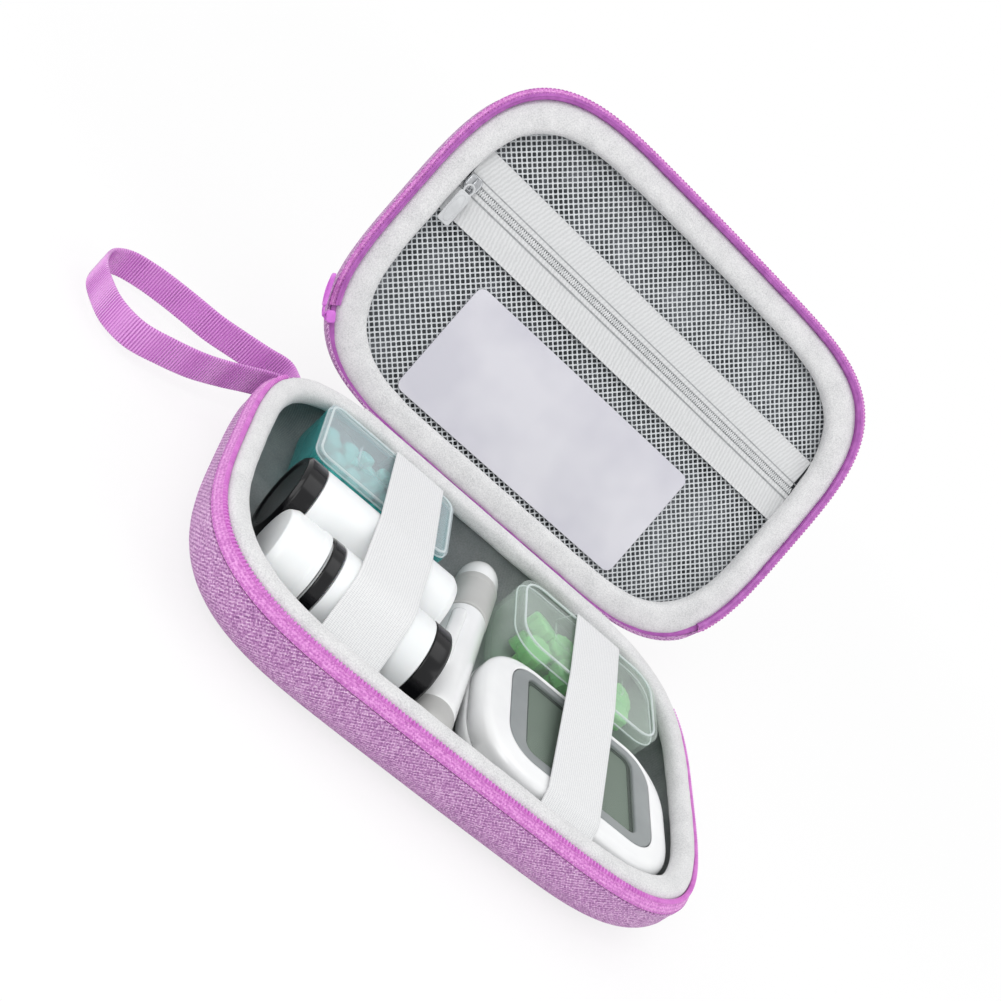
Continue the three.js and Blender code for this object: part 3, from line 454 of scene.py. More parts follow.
def tape_height(tree):
    """Loops along the tape, leaning to and fro across it, on chains: two sines."""
    x, y, _ = node(tree, "SeparateXYZ", [node(tree, "TexCoord", out="UV")], out=None)
    lean = node(tree, "Math", [y, CHAIN_PITCH / 2], operation="PINGPONG")
    loops = waves(tree, node(tree, "Math", [x, lean], operation="ADD"), LOOP_PITCH)
    return mixed(tree, 0, (loops, 0.3), (waves(tree, y, CHAIN_PITCH), 0.5))


def tape_color(tree):
    """A dye of its own for each loop, with painted light: lighter where loops and chains stand up and darker
    between them.
    """
    place = node(tree, "TexCoord", out="UV")
    place = node(tree, "Mapping", {"Vector": place, "Scale": (1 / LOOP, 1 / LOOP, 1)})
    cell = node(tree, "VectorMath", [place], operation="FLOOR")
    loop = node(tree, "TexWhiteNoise", [cell], noise_dimensions="2D")
    shade = mixed(tree, 0.34, (tape_height(tree), 0.16), (loop, 0.42))
    return node(tree, "ValToRGB", [shade], stops=[(0.2, "#B15AAC"), (0.55, "#D583CE"), (0.95, "#F4B2EC")])


zip_tape_cloth = finish_of("knitted polyester zip tape", 0.75, tape_height, tape_color, (0.6, 0.18),
                           Sheen_Weight=0.2)

# Nylon coil: drawn thread, smooth and a little glossy. Sewing thread is matte, with a fine fuzz.
nylon = grained("dyed nylon coil", 0.38, [(0.3, "#CB6EC6"), (0.7, "#E08EDA")], (0.3, 3), (1.6, 0.15, 0.1))
# A darker nylon as painted shade: the lid's coil, the selvedge and the hinge welt wear it for the shaded line
# between the cover and the plush pad.
shade_painted_nylon = grained("nylon coil in painted shade", 0.45, [(0.3, "#9A4A9E"), (0.7, "#B865BA")], (0.3, 3),
                     (1.6, 0.15, 0.1))
grey_coil = grained("grey nylon coil", 0.45, [(0.3, "#CDCFD0"), (0.7, "#E6E7E8")], (0.4, 3), (2.0, 0.2, 0.1))
stitch_thread = grained("polyester sewing thread", 0.6, [(0.3, "#AE55AB"), (0.7, "#CC76C8")], (0.8, 3),
                        (4.0, 0.3, 0.1), Sheen_Weight=0.3)
# Darker grey strips as painted shade in the grooves beside the pocket's coil.
groove_shade_strips = grained("grey strips of painted groove shade", 0.8, [(0.3, "#8E9092"), (0.7, "#ACAEB0")], (0.7, 3),
                        (2.0, 0.3, 0.1))


# Brushed plush trim: short raised fibres, so it is matte with a fine speckle and soft light edges.
def plush_height(tree):
    """Fine fibres on soft tufts: the sum of two noises."""
    space = node(tree, "TexCoord", out="Object")
    fibres, tufts = [node(tree, "TexNoise", {"Vector": space, "Scale": per_mm / MM, "Detail": detail,
                                             "Roughness": rough})
                     for per_mm, detail, rough in ((2.4, 4, 0.75), (0.55, 2, 0.6))]
    return mixed(tree, fibres, (tufts, 0.8))


def plush_color(tree):
    space = node(tree, "TexCoord", out="Object")
    fibres, clouds = [node(tree, "TexNoise", {"Vector": space, "Scale": per_mm / MM, "Detail": detail,
                                              "Roughness": rough})
                      for per_mm, detail, rough in ((2.0, 3, 0.7), (0.12, 2, 0.6))]
    shade = mixed(tree, 0, (fibres, 0.7), (clouds, 0.22))
    return node(tree, "ValToRGB", [shade], stops=[(0.28, "#C0C1C2"), (0.45, "#DCDCDD"), (0.64, "#F1F1F1")])


plush = finish_of("brushed polyester plush", 0.95, plush_height, plush_color, (0.55, 0.5),
                  Sheen_Weight=0.55, Sheen_Roughness=0.45)

# Knitted lining glued on foam: grey, matte, with fine ribs.
KNIT_RIB, KNIT_ROW = 0.9, 0.75


def knit_height(tree):
    """Stitches as the product of a sine along the knit's rows and one across them."""
    x, y, _ = node(tree, "SeparateXYZ", [node(tree, "TexCoord", out="UV")], out=None)
    return node(tree, "Math", [waves(tree, x, KNIT_RIB), waves(tree, y, KNIT_ROW)], operation="MULTIPLY")


def knit_color(tree):
    space = node(tree, "TexCoord", out="Object")
    clouds, grain = [node(tree, "TexNoise", {"Vector": space, "Scale": per_mm / MM, "Detail": detail,
                                             "Roughness": 0.6}) for per_mm, detail in ((0.05, 3), (1.8, 2))]
    shade = mixed(tree, 0, (clouds, 0.6), (grain, 0.4))
    return node(tree, "ValToRGB", [shade], stops=[(0.3, "#6C7172"), (0.5, "#838788"), (0.75, "#999D9D")])


def pocket_knit_color(tree):
    clouds = node(tree, "TexNoise", {"Vector": node(tree, "TexCoord", out="Object"), "Scale": 0.09 / MM,
                                     "Detail": 3, "Roughness": 0.6})
    return node(tree, "ValToRGB", [clouds], stops=[(0.3, "#54585B"), (0.52, "#7D8185"), (0.72, "#A3A5AD")])


lining_cloth = finish_of("knitted grey lining", 0.92, knit_height, knit_color, (0.35, 0.12), Sheen_Weight=0.2)
lid_lining_cloth = finish_of("knitted grey lining of the lid", 0.92, knit_height, pocket_knit_color,
                             (0.35, 0.12), Sheen_Weight=0.15)

# Net of monofilament yarn: thin pale strands with a slight shine.
net_yarn = grained("knitted polyester net", 0.55, [(0.3, "#BFC3C6"), (0.7, "#DCDFE1")], (0.6, 3),
                   (3.0, 0.3, 0.1))

# Ribbed polyester tape: soft slanted ribs across it that wander a little, a pale grey.
RIB_PITCH, RIB_SLANT, RIB_WANDER = 1.5, math.radians(14), 1.6


def rib_height(tree):
    """A sine across slanted ribs whose place wanders by a noise, on a fine grain."""
    place = node(tree, "TexCoord", out="UV")
    wander, grain = [node(tree, "TexNoise", {"Vector": place, "Scale": scale, "Detail": 3, "Roughness": 0.6})
                     for scale in (0.6, 2.2)]
    slanted = node(tree, "Mapping", {"Vector": place, "Rotation": (0, 0, RIB_SLANT)})
    across = mixed(tree, node(tree, "SeparateXYZ", [slanted]), (wander, RIB_WANDER))
    return mixed(tree, grain, (waves(tree, across, RIB_PITCH), 0.5))


def rib_color(tree):
    # Painted shade from the relief: the colour follows the ribs' height, lighter on the ribs and darker
    # between them, with a fine random grain.
    return node(tree, "ValToRGB", [rib_height(tree)],
                stops=[(0.0, "#CACBCC"), (0.5, "#D2D3D4"), (1.0, "#D9DADB")])


grey_tape = finish_of("ribbed grey tape", 0.85, rib_height, rib_color, (0.28, 0.15), Sheen_Weight=0.2)

# Woven elastic: fine cords run along it and the weft crosses them, with firm edges.
CORD_PITCH, WEFT_PITCH = 0.8, 0.55


def elastic_height(tree):
    """A sine for the cords and one for the weft, on a fuzz."""
    place = node(tree, "TexCoord", out="UV")
    x, y, _ = node(tree, "SeparateXYZ", [place], out=None)
    fuzz = node(tree, "TexNoise", {"Vector": place, "Scale": 1.4, "Detail": 3, "Roughness": 0.6})
    return mixed(tree, fuzz, (waves(tree, x, CORD_PITCH), 0.25), (waves(tree, y, WEFT_PITCH), 0.25))


def elastic_color(tree):
    # Painted shade from the relief: the colour follows the cords' and weft's height, lighter on top and
    # darker between them, with a random fuzz.
    return node(tree, "ValToRGB", [elastic_height(tree)],
                stops=[(0.1, "#CFD0D2"), (0.5, "#DFE0E1"), (0.9, "#EBECEC")])


elastic = finish_of("woven elastic", 0.88, elastic_height, elastic_color, (0.35, 0.15), Sheen_Weight=0.25)

# Grosgrain ribbon: heavy cross ribs of shiny filament.
RIB = 1.04


def grosgrain_height(tree):
    """Ribs as a rectified sine along the ribbon."""
    along = node(tree, "SeparateXYZ", [node(tree, "TexCoord", out="UV")])
    return node(tree, "Math", [waves(tree, along, 2 * RIB)], operation="ABSOLUTE")


def grosgrain_color(tree):
    place = node(tree, "TexCoord", out="UV")
    streaks = node(tree, "Mapping", {"Vector": place, "Scale": (0.4, 1, 1)})
    fine, wander = [node(tree, "TexNoise", {"Vector": vector, "Scale": per_mm, "Detail": detail,
                                            "Roughness": 0.6})
                    for vector, per_mm, detail in ((streaks, 1.6, 3), (place, 0.05, 2))]
    # Besides random streaks and wander, the ribs' height goes into the colour as painted shade: lighter on
    # each rib, darker between ribs.
    shade = mixed(tree, 0, (grosgrain_height(tree), 0.55), (fine, 0.2), (wander, 0.35))
    return node(tree, "ValToRGB", [shade], stops=[(0.15, "#B058B5"), (0.5, "#CE79D0"), (0.9, "#E9A6E8")])


ribbon = finish_of("grosgrain ribbon", 0.62, grosgrain_height, grosgrain_color, (0.9, 0.3),
                   Sheen_Weight=0.5, Sheen_Roughness=0.35)

# Zinc alloy with bright nickel plate: smooth, with faint casting waves. The pulls are satin.
nickel = grained("nickel plated zinc", 0.22, [(0.3, "#9C9EA1"), (0.7, "#B8BABD")], (0.25, 3),
                 (0.7, 0.08, 0.2), Metallic=1.0)
satin_tab = grained("painted zip pull", 0.4, [(0.3, "#BDBFC1"), (0.7, "#CFD1D3")], (0.2, 3), (0.9, 0.06, 0.2))
pink_tab = grained("moulded zip pull", 0.42, [(0.3, "#C965CE"), (0.7, "#DF82E2")], (0.2, 3), (1.2, 0.1, 0.2))

# Coated card: smooth and matte with a faint cloud.
card_stock = grained("coated card", 0.48, [(0.35, "#C9C8D1"), (0.65, "#D5D4DB")], (0.035, 2),
                     (0.5, 0.05, 0.2))


# Moulded ABS, polypropylene and polyethylene: an even colour with a polished or a fine spark-eroded skin.
def moulded(name, base, light, roughness, grain=0.03, **extra):
    return grained(name, roughness, [(0.35, base), (0.7, light)], (0.06, 2), (3.2, grain, 0.12), **extra)


white_abs = moulded("polished white ABS", "#EDEEEF", "#F3F4F4", 0.2, 0.015, Coat_Weight=0.35,
                    Coat_Roughness=0.06)
white_pp = moulded("white polypropylene", "#EFF0F0", "#F5F5F5", 0.3, 0.03, Subsurface_Weight=0.05)
grey_abs = moulded("satin grey ABS", "#868B8C", "#919697", 0.42, 0.06)
pen_grey = moulded("soft grey polypropylene", "#B4B4B2", "#BEBEBC", 0.4, 0.06)
black_pp = moulded("polished black polypropylene", "#08080A", "#101013", 0.16, 0.01, Specular_IOR_Level=0.3)
# A dark grey as painted shade round the display's edge.
display_edge_shade = moulded("dark painted display edge shade", "#363D3A", "#3E4642", 0.5, 0.01)
teal_pe = moulded("teal polyethylene", "#5FCCC3", "#8CE0D8", 0.35, 0.05, Subsurface_Weight=0.1)
green_pe = moulded("light green polyethylene", "#7ACB74", "#93D98D", 0.35, 0.05, Subsurface_Weight=0.12)

# Inside the shells and the meter: closed-cell foam, a lacquered board and steel drawn along X.
eva_foam = grained("moulded EVA foam", 0.95, [(0.3, "#413D47"), (0.7, "#565260")], (0.5, 3), (2.5, 0.5, 0.3))
solder_mask = grained("green solder mask", 0.35, [(0.4, "#1B5F33"), (0.6, "#2A7A46")], (0.3, 3),
                      (0.8, 0.2, 0.1))
brushed_steel = grained("brushed stainless steel", 0.3, [(0.3, "#A9ABAD"), (0.7, "#C6C8CA")], (0.8, 3),
                        (1.0, 0.15, 0.1), stretch=(0.2, 3, 1), Metallic=1.0)

# Liquid crystal cell: a grey green film behind glass, nearly even.
lcd_film = grained("liquid crystal film", 0.5, [(0.3, "#6A756D"), (0.7, "#6C776F")], (0.2, 3),
                   (0.4, 0.02, 0.02))


# Clear and tinted plastics, moulded thin: light passes straight, a haze veils what is behind, and the
# edges, seen along the wall, gather more of it.
def thin_clear(name, tint, haze_color, haze, edge, roughness):
    material = moulded(name, haze_color, haze_color, roughness, 0.004)
    tree = material.node_tree
    clear = node(tree, "BsdfTransparent", [linear(tint)])
    facing = node(tree, "LayerWeight", {"Blend": 0.3}, out="Facing")
    share = node(tree, "Math", [facing, edge, haze], operation="MULTIPLY_ADD", use_clamp=True)
    veiled = node(tree, "MixShader", [share, clear, tree.nodes["Principled BSDF"].outputs["BSDF"]])
    tree.links.new(veiled, tree.nodes["Material Output"].inputs["Surface"])
    return material


window_acrylic = thin_clear("clear acrylic window", "#FBFDFB", "#AEB8B2", 0.02, 0.08, 0.1)
teal_pp = thin_clear("teal tinted polypropylene", "#C8F0F0", "#6FCFCF", 0.13, 0.45, 0.22)
teal_clear = thin_clear("frosted clear polypropylene", "#F6FCFC", "#EDF2F7", 0.09, 0.5, 0.2)
clear_ps = thin_clear("clear polystyrene", "#F9FDFA", "#EAF3EE", 0.035, 0.45, 0.08)
# A hazier, whiter clear as painted highlight for the thin lines along the boxes' corners.
painted_edge_highlight = thin_clear("hazy edge lines of painted highlight", "#F4FAFA", "#F2F7F8", 0.4, 0.4, 0.25)


# Shells: covers, linings, soft rims and the two halves of the main zip

def bend_rows(stand, depth, width, drop, side, turns):
    """Rings round an elliptical bend, from the floor's edge, where the turn is a right angle, to the wall."""
    return [rim(stand - width * (1 - math.cos(t)), side * (depth - drop * (1 - math.sin(t)))) for t in turns]


HEM_SECTION = [(1.8, -0.02), (1.3, 0.08), (0.8, 0.2), (0.35, 0.22), (0.1, 0.08), (0.0, -0.12), (0.05, -0.5)]


def cover_shape(half, side):
    """A fabric skin: out round the bend, over a folded hem, and back inside by its thickness."""
    turns = np.linspace(math.pi / 2, 0.12, 16)
    edge = hem(side * half["hem"], side * half["back_rim"])

    def rows(into):
        depth = half["depth"] - into
        return bend_rows(WALL_STAND - into, depth, half["bend_width"] - into, depth - half["bend_top"], side,
                         turns)
    folded = [rim(WALL_STAND + out, edge + side * down) for down, out in HEM_SECTION]
    inside = rows(COVER)[::-1]
    lip = rim(WALL_STAND - COVER, edge + side * 1.6)
    return skin(np.array([*rows(0), *folded, lip, *inside]))


def lining_shape(half, side):
    """The lining's two faces, joined over its edge below the soft rim."""
    turns = np.linspace(math.pi / 2, 0, 14)

    def rows(out):
        stand, depth = WALL_STAND - WALL + out, half["depth"] - WALL + out
        bent = bend_rows(stand, depth, half["inner_width"] + out, half["inner_depth"] + out, side, turns)
        top = depth - half["inner_depth"] - out
        straight = np.linspace(top, half["inner_rim"], 5)[1:]
        return bent + [rim(stand, side * h) for h in straight]
    return skin(np.array([*rows(LINING), *rows(0)[::-1]]))


def roll_shape(stand, height, half_width, half_height, seed, sides=30, exponent=2.4, lumps=0.02):
    """A superellipse section carried round the rim, its size wandering slightly as stuffed plush does."""
    run = np.arange(COLUMNS) / COLUMNS * 2 * np.pi
    swell = 1 + lumps * (noise1(run * 9, seed) + noise1(run * 23, seed + 1))
    rows = []
    for turn in np.arange(sides) / sides * 2 * np.pi:
        c, s = math.cos(turn), math.sin(turn)
        out = math.copysign(abs(c) ** (2 / exponent), c) * half_width
        up = math.copysign(abs(s) ** (2 / exponent), s) * half_height
        rows.append(rim(stand + out * swell, height + up * swell, TRIM_SHIFT))
    return skin(np.array(rows), loop_rows=True)


def swapped(shape):
    """The same shape with its UV's two directions changed over, so that U runs along a strip."""
    points, quads, tris, uv = shape
    return points, quads, tris, [part[..., ::-1] for part in uv]


def zip_strip(section):
    """A closed section of (stand, height) points carried along the stretch that zips."""
    lines = np.array([rim(stand, height)[ZIP_ORDER] for stand, height in section])
    return swapped(skin(lines.transpose(1, 0, 2)))


TAPE_LIP_STAND, TAPE_THICKNESS = 0.9, 0.8


def tape_out(up):
    """How far out the tape lies, as a share: full on the wall, then bending in to the lip."""
    return 1 - (np.clip(0.75 - up, 0, 1) / 0.75) ** 1.6


def tape_section(lip, edge):
    up = np.array([1.0, 0.9, 0.75, 0.62, 0.5, 0.38, 0.27, 0.16, 0.08, 0.0])
    stand = TAPE_LIP_STAND + tape_out(up) * (WALL_STAND - TAPE_LIP_STAND)
    height = lip + up * (edge - lip)
    outer = np.stack([stand, height], 1)
    return np.concatenate([outer, (outer - [TAPE_THICKNESS, 0])[::-1]])


def zip_frames(count, stand, height, offset=0.0):
    """Even places along the zip, each with axes along it, outwards and up."""
    line = rim(stand, height)[ZIP_ORDER]
    run = np.concatenate([[0], np.linalg.norm(np.diff(line, axis=0), axis=1).cumsum()])
    even = (np.arange(count) + 0.5 + offset) / (count + 1) * run[-1]
    places = np.stack([np.interp(even, run, line[:, k]) for k in range(3)], 1)
    slope = np.stack([np.interp(even, run, np.gradient(line[:, k], run)) for k in range(3)], 1)
    slope /= np.linalg.norm(slope, axis=1)[:, None]
    up = np.tile([0.0, 0.0, 1.0], (count, 1))
    return places, np.stack([slope, np.cross(slope, up), up], 1)


def bead(length, width, height, sides=8, exponent=2.0):
    """A small pillow along its own X: a superellipse section, full in the middle and less at its ends."""
    turn = np.arange(sides) / sides * 2 * np.pi
    ring = np.stack([np.cos(turn), np.sin(turn)], 1)
    ring = np.sign(ring) * np.abs(ring) ** (2 / exponent) * [width / 2, height / 2]
    rows = []
    for place, share in ((-1, 0.45), (-0.6, 0.95), (0.6, 0.95), (1, 0.45)):
        rows.append(np.column_stack([np.full(sides, place * length / 2), ring * share]))
    return skin(np.array(rows))


ZIP_LENGTH = float(np.linalg.norm(np.diff(rim(1, 0)[ZIP_ORDER], axis=0), axis=1).sum())
TOOTH_PITCH, STITCH_PITCH = 1.3, 1.5


def teeth_shape(bottom, lean, offset):
    """The coil's loops as small pillows across the zip, leaning towards the other half."""
    places, frames = zip_frames(int(ZIP_LENGTH / TOOTH_PITCH), 0.62, bottom + 0.72, offset)
    tooth = moved(bead(1.75, 0.78, 1.25, exponent=2.6), turn=about("z", 90))
    tooth = moved(tooth, turn=about("x", lean))
    core = zip_strip([(0.15, bottom), (0.95, bottom), (0.95, bottom + 0.7), (0.15, bottom + 0.7)])
    return joined([copies(tooth, places, frames), core])


def zip_selvedge_shape(bottom):
    """The tape's inner edge, which leans from the coil back under the pad that it is sewn to."""
    return zip_strip([(0.1, bottom), (0.1, bottom + 2.6), (-0.75, bottom + 2.9), (-0.75, bottom + 0.6)])


def hinge_welt_shape(half, side, sunk):
    """A strip from the cover to the soft rim where no zip runs: a four-sided section round that stretch.

    The face towards the mouth is level, and the one behind it follows the cover's edge.
    """
    low, high = side * (half["back_rim"] + sunk), side * (hem(half["hem"], half["back_rim"]) + 2.4)
    count = COLUMNS - int(ZIPPED.sum()) + 4
    order = (FIRST_ZIPPED - count + 2 + np.arange(count)) % COLUMNS
    inner, outer = (-1.0, TRIM_SHIFT), (1.7, BACK_SHIFT)
    lines = np.array([rim(stand, height, shift)[order] for (stand, shift), height in (
        (inner, low), (outer, low), (outer, high), (inner, high))])
    return swapped(skin(lines.transpose(1, 0, 2)))


def stitches_shape(lip, edge, share):
    """A row of stitches pressed into the tape."""
    stand = TAPE_LIP_STAND + float(tape_out(np.array(share))) * (WALL_STAND - TAPE_LIP_STAND)
    places, frames = zip_frames(int(ZIP_LENGTH / STITCH_PITCH), stand + 0.05, lip + share * (edge - lip))
    return copies(bead(0.95, 0.5, 0.6), places, frames)


def half_pieces(body, half, side, place, roll, lining, coil, teeth, tape, share, sunk, selvedge=()):
    """Makes the soft pieces of one half, each with its name, shape, material, slot and the solid it dresses.

    place puts a shape where the half lies. teeth, tape and share are the arguments of the zip's shapes, and
    sunk is how far the welt reaches in.
    """
    pieces = [
        ("cover_cloth", cover_shape(half, side), cover_cloth, "cover_fabric", "cover"),
        ("lining_cloth", lining_shape(half, side), lining, "lining", "lining"),
        roll,
        ("zip_tape", zip_strip(tape_section(*tape)), zip_tape_cloth, "zip_tape", "zipper_tape"),
        ("zip_teeth", teeth_shape(*teeth), coil, "zip_coil", "zipper_coil"),
        # The selvedge and the welt are in the darker nylon, painted shade for the gap between cover and pad.
        *[("zip_selvedge", shape, shade_painted_nylon, "zip_tape", None) for shape in selvedge],
        ("hinge_welt", hinge_welt_shape(half, side, sunk), shade_painted_nylon, "zip_tape", None),
        ("zip_stitches", stitches_shape(*tape, share), stitch_thread, "zip_tape", None),
    ]
    for name, shape, material, slot, solid in pieces:
        stands_for = [f"{body}_{solid}"] if solid else ()
        piece = made(f"{body}_{name}", place(shape), material, body, stands_for)


base_roll = "plush_roll", roll_shape(-3.8, -0.8, 3.6, 3.8, 3), plush, "plush", "rim_roll"
lid_pad = "plush_pad", roll_shape(-5.35, 7.5, 5.25, 3.7, 8, exponent=2.9), plush, "plush", "rim_pad"
half_pieces("base", BASE, -1, moved, base_roll, lining_cloth, nylon, teeth=(0.3, 12, 0),
            tape=(0.35, 0.3 - BASE["hem"]), share=0.86, sunk=1.0)
# The lid's coil is in the darker nylon, painted shade along the lid's mouth.
half_pieces("lid", LID, 1, opened, lid_pad, lid_lining_cloth, shade_painted_nylon, teeth=(LID_LIP - 1.7, -12, 0.5),
            tape=(LID_LIP - 0.35, LID["hem"] - 0.3), share=0.8, sunk=1.7,
            selvedge=[zip_selvedge_shape(LID_LIP - 1.7)])


# Hinge strip

def ribbon_along(path, normals, width, thickness, crown=0.0, across=(1, 0, 0), edge=0.35, steps=10):
    """A flat strip along a path: a rounded section across it, a little thicker in the middle."""
    turn = np.linspace(-1, 1, steps)
    half = width / 2
    top = [(t * (half - edge), 0.5 + crown * (1 - t * t)) for t in turn]
    section = np.array([*top, (half, 0.22), (half, -0.22), *[(a, -b) for a, b in top[::-1]], (-half, -0.22),
                        (-half, 0.22)])
    rows = (path[:, None, :] + section[None, :, :1] * np.asarray(across, float)
            + section[None, :, 1:] * thickness * normals[:, None, :])
    return skin(rows)


def even_path(points, step):
    """Points at even steps along a polyline."""
    run = np.concatenate([[0], np.linalg.norm(np.diff(points, axis=0), axis=1).cumsum()])
    even = np.linspace(0, run[-1], max(int(run[-1] / step), 2) + 1)
    return np.stack([np.interp(even, run, points[:, k]) for k in range(points.shape[1])], 1)


def yz_normals(path):
    """Unit normals of a path that lies in planes along X, to its left."""
    slope = np.gradient(path[:, 1:], axis=0)
    slope /= np.linalg.norm(slope, axis=1)[:, None]
    return np.stack([np.zeros(len(path)), -slope[:, 1], slope[:, 0]], 1)


def hinge_shape():
    """A quadratic curve from the base's back wall to the lid's, pinched into a crease at its crown."""
    c, s = math.cos(OPEN_ANGLE), math.sin(OPEN_ANGLE)
    wall_y = END_RADIUS + WALL_STAND - BACK_SHIFT - COVER / 2
    start, dy, dz = np.array([wall_y, -1.0]), wall_y - HINGE_Y, LID["back_rim"] - GAP
    end = np.array([HINGE_Y + dy * c + dz * s, -dy * s + dz * c])
    crown = np.array([(start[0] + end[0]) / 2, 1.0])
    t = np.linspace(0, 1, 15)[:, None]
    curve = (1 - t) ** 2 * start + 2 * t * (1 - t) * crown + t ** 2 * end
    curve[:, 1] -= 0.35 * np.exp(-((t[:, 0] - 0.5) / 0.09) ** 2)
    path = np.column_stack([np.zeros(len(curve)), curve])
    return ribbon_along(path, yz_normals(path), 126, 0.75, steps=60), start, end


shape, hinge_start, hinge_end = hinge_shape()
strip = made("hinge_strip", shape, plush, None, ["hinge_spine"])
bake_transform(strip)


# Elastic bands, pulled tight over what they hold

BAND_WIDTH, BAND_THICKNESS, ANCHOR_DEPTH = 22.0, 0.8, 9.5
OVER_EDGE = GAP + BAND_THICKNESS / 2
LEFT_BOX = dict(place=(-47.75, 36.25), plan=(57.5, 37.5, 6), height=23.1, lid=2.1)
RIGHT_BOX = dict(place=(49.9, 30.75), plan=(69.2, 40.5, 12), height=23.1, lid=3.7)
METER = dict(place=(47.9, -22.6), plan=(84.6, 57.8, 23), height=19.6, split=10.6)
VIAL_RADIUS, VIAL_X, VIAL_LENGTH, VIAL_REAR_Y, VIAL_FRONT_Y = 14.8, -80.0, 63.3, -4.2, -34.8
VIAL_Z = STAND + VIAL_RADIUS


def taut_path(rounds):
    """The path of a band over round edges (y, z, radius), back to front.

    Between two edges it runs straight and touches both circles; round each it follows an arc.
    """
    headings = []
    for (ay, az, ar), (by, bz, br) in zip(rounds, rounds[1:]):
        run = math.hypot(by - ay, bz - az)
        headings.append((math.atan2(bz - az, by - ay) % (2 * math.pi)) + math.asin((ar - br) / run))
    path = []
    for k, (y, z, r) in enumerate(rounds):
        first, last = headings[max(k - 1, 0)], headings[min(k, len(headings) - 1)]
        for heading in np.linspace(first, last, 24 if r else 1):
            path.append((y + r * math.sin(heading), z - r * math.cos(heading)))
    return np.array(path)


def band_anchor(middle, side):
    inside = rim_y(abs(middle) + BAND_WIDTH / 2, WALL_STAND - WALL, BACK_SHIFT if side > 0 else 0)
    return side * (inside - OVER_EDGE - GAP), -ANCHOR_DEPTH, 0


def edge_of(thing, side, radius=1):
    """A long top edge of a box or the meter, as a round for the band to lie over."""
    out = side * (thing["plan"][1] / 2 - radius)
    return thing["place"][1] + out, STAND + thing["height"] - radius, radius + OVER_EDGE


def band_shape(back_x, front_x, rounds):
    flat = taut_path(rounds)
    x = np.interp(-flat[:, 0], [-flat[0, 0], -flat[-1, 0]], [back_x, front_x])
    path = even_path(np.column_stack([x, flat]), 0.9)
    return ribbon_along(path, -yz_normals(path), BAND_WIDTH, BAND_THICKNESS, crown=0.08, steps=16)


VIAL_ROUNDS = [(y, VIAL_Z, VIAL_RADIUS + OVER_EDGE) for y in (VIAL_REAR_Y, VIAL_FRONT_Y)]
for word, back_x, front_x, held in (("left", -36, -45.9, [edge_of(LEFT_BOX, 1), *VIAL_ROUNDS]),
                                    ("right", 54.5, 42.5, [edge_of(RIGHT_BOX, 1), edge_of(RIGHT_BOX, -1),
                                                           edge_of(METER, -1, 4)])):
    band = band_shape(back_x, front_x, [band_anchor(back_x, 1), *held, band_anchor(front_x, -1)])
    made(f"{word}_woven_band", band, elastic, "base", [f"{word}_elastic_band"])


# Wrist strap, a grosgrain ribbon on edge

STRAP_ROOT_X, STRAP_DEPTH, STRAP_GAP, STRAP_REACH, STRAP_SPREAD, STRAP_DROP = -88.3, 9, 2.6, 74, 40, 9.3
STRAP_WIDTH, STRAP_THICKNESS = 11.5, 1.4
STRAP_SHARES = [
    (0.073, 0.2375, 0.02), (0.193, 0.205, 0.1), (0.318, 0.2175, 0.27), (0.441, 0.235, 0.43),
    (0.565, 0.3, 0.59), (0.685, 0.36, 0.75), (0.803, 0.3725, 0.86), (0.922, 0.33, 0.97),
    (0.993, 0.16, 1), (0.993, -0.09, 1), (0.918, -0.345, 0.96), (0.83, -0.525, 0.89),
    (0.707, -0.6225, 0.77), (0.558, -0.5575, 0.65), (0.414, -0.445, 0.54),
    (0.274, -0.2775, 0.38), (0.132, -0.1, 0.16),
]


def smooth_path(points, per_span=24):
    """A Catmull-Rom curve through points, its knots spaced by the square root of their distance."""
    points = np.array(points, float)
    points = np.concatenate([[2 * points[0] - points[1]], points, [2 * points[-1] - points[-2]]])
    knots = np.concatenate([[0], np.sqrt(np.linalg.norm(np.diff(points, axis=0), axis=1)).cumsum()])
    out = []
    for i in range(1, len(points) - 2):
        p, k = points[i - 1:i + 3], knots[i - 1:i + 3]
        t = np.linspace(k[1], k[2], per_span, endpoint=i == len(points) - 3)[:, None]

        def between(a, b, ka, kb):
            return ((kb - t) * a + (t - ka) * b) / (kb - ka)
        low = [between(p[j], p[j + 1], k[j], k[j + 1]) for j in range(3)]
        mid = [between(low[j], low[j + 1], k[j], k[j + 2]) for j in range(2)]
        out.append(between(mid[0], mid[1], k[1], k[2]))
    return np.concatenate(out)


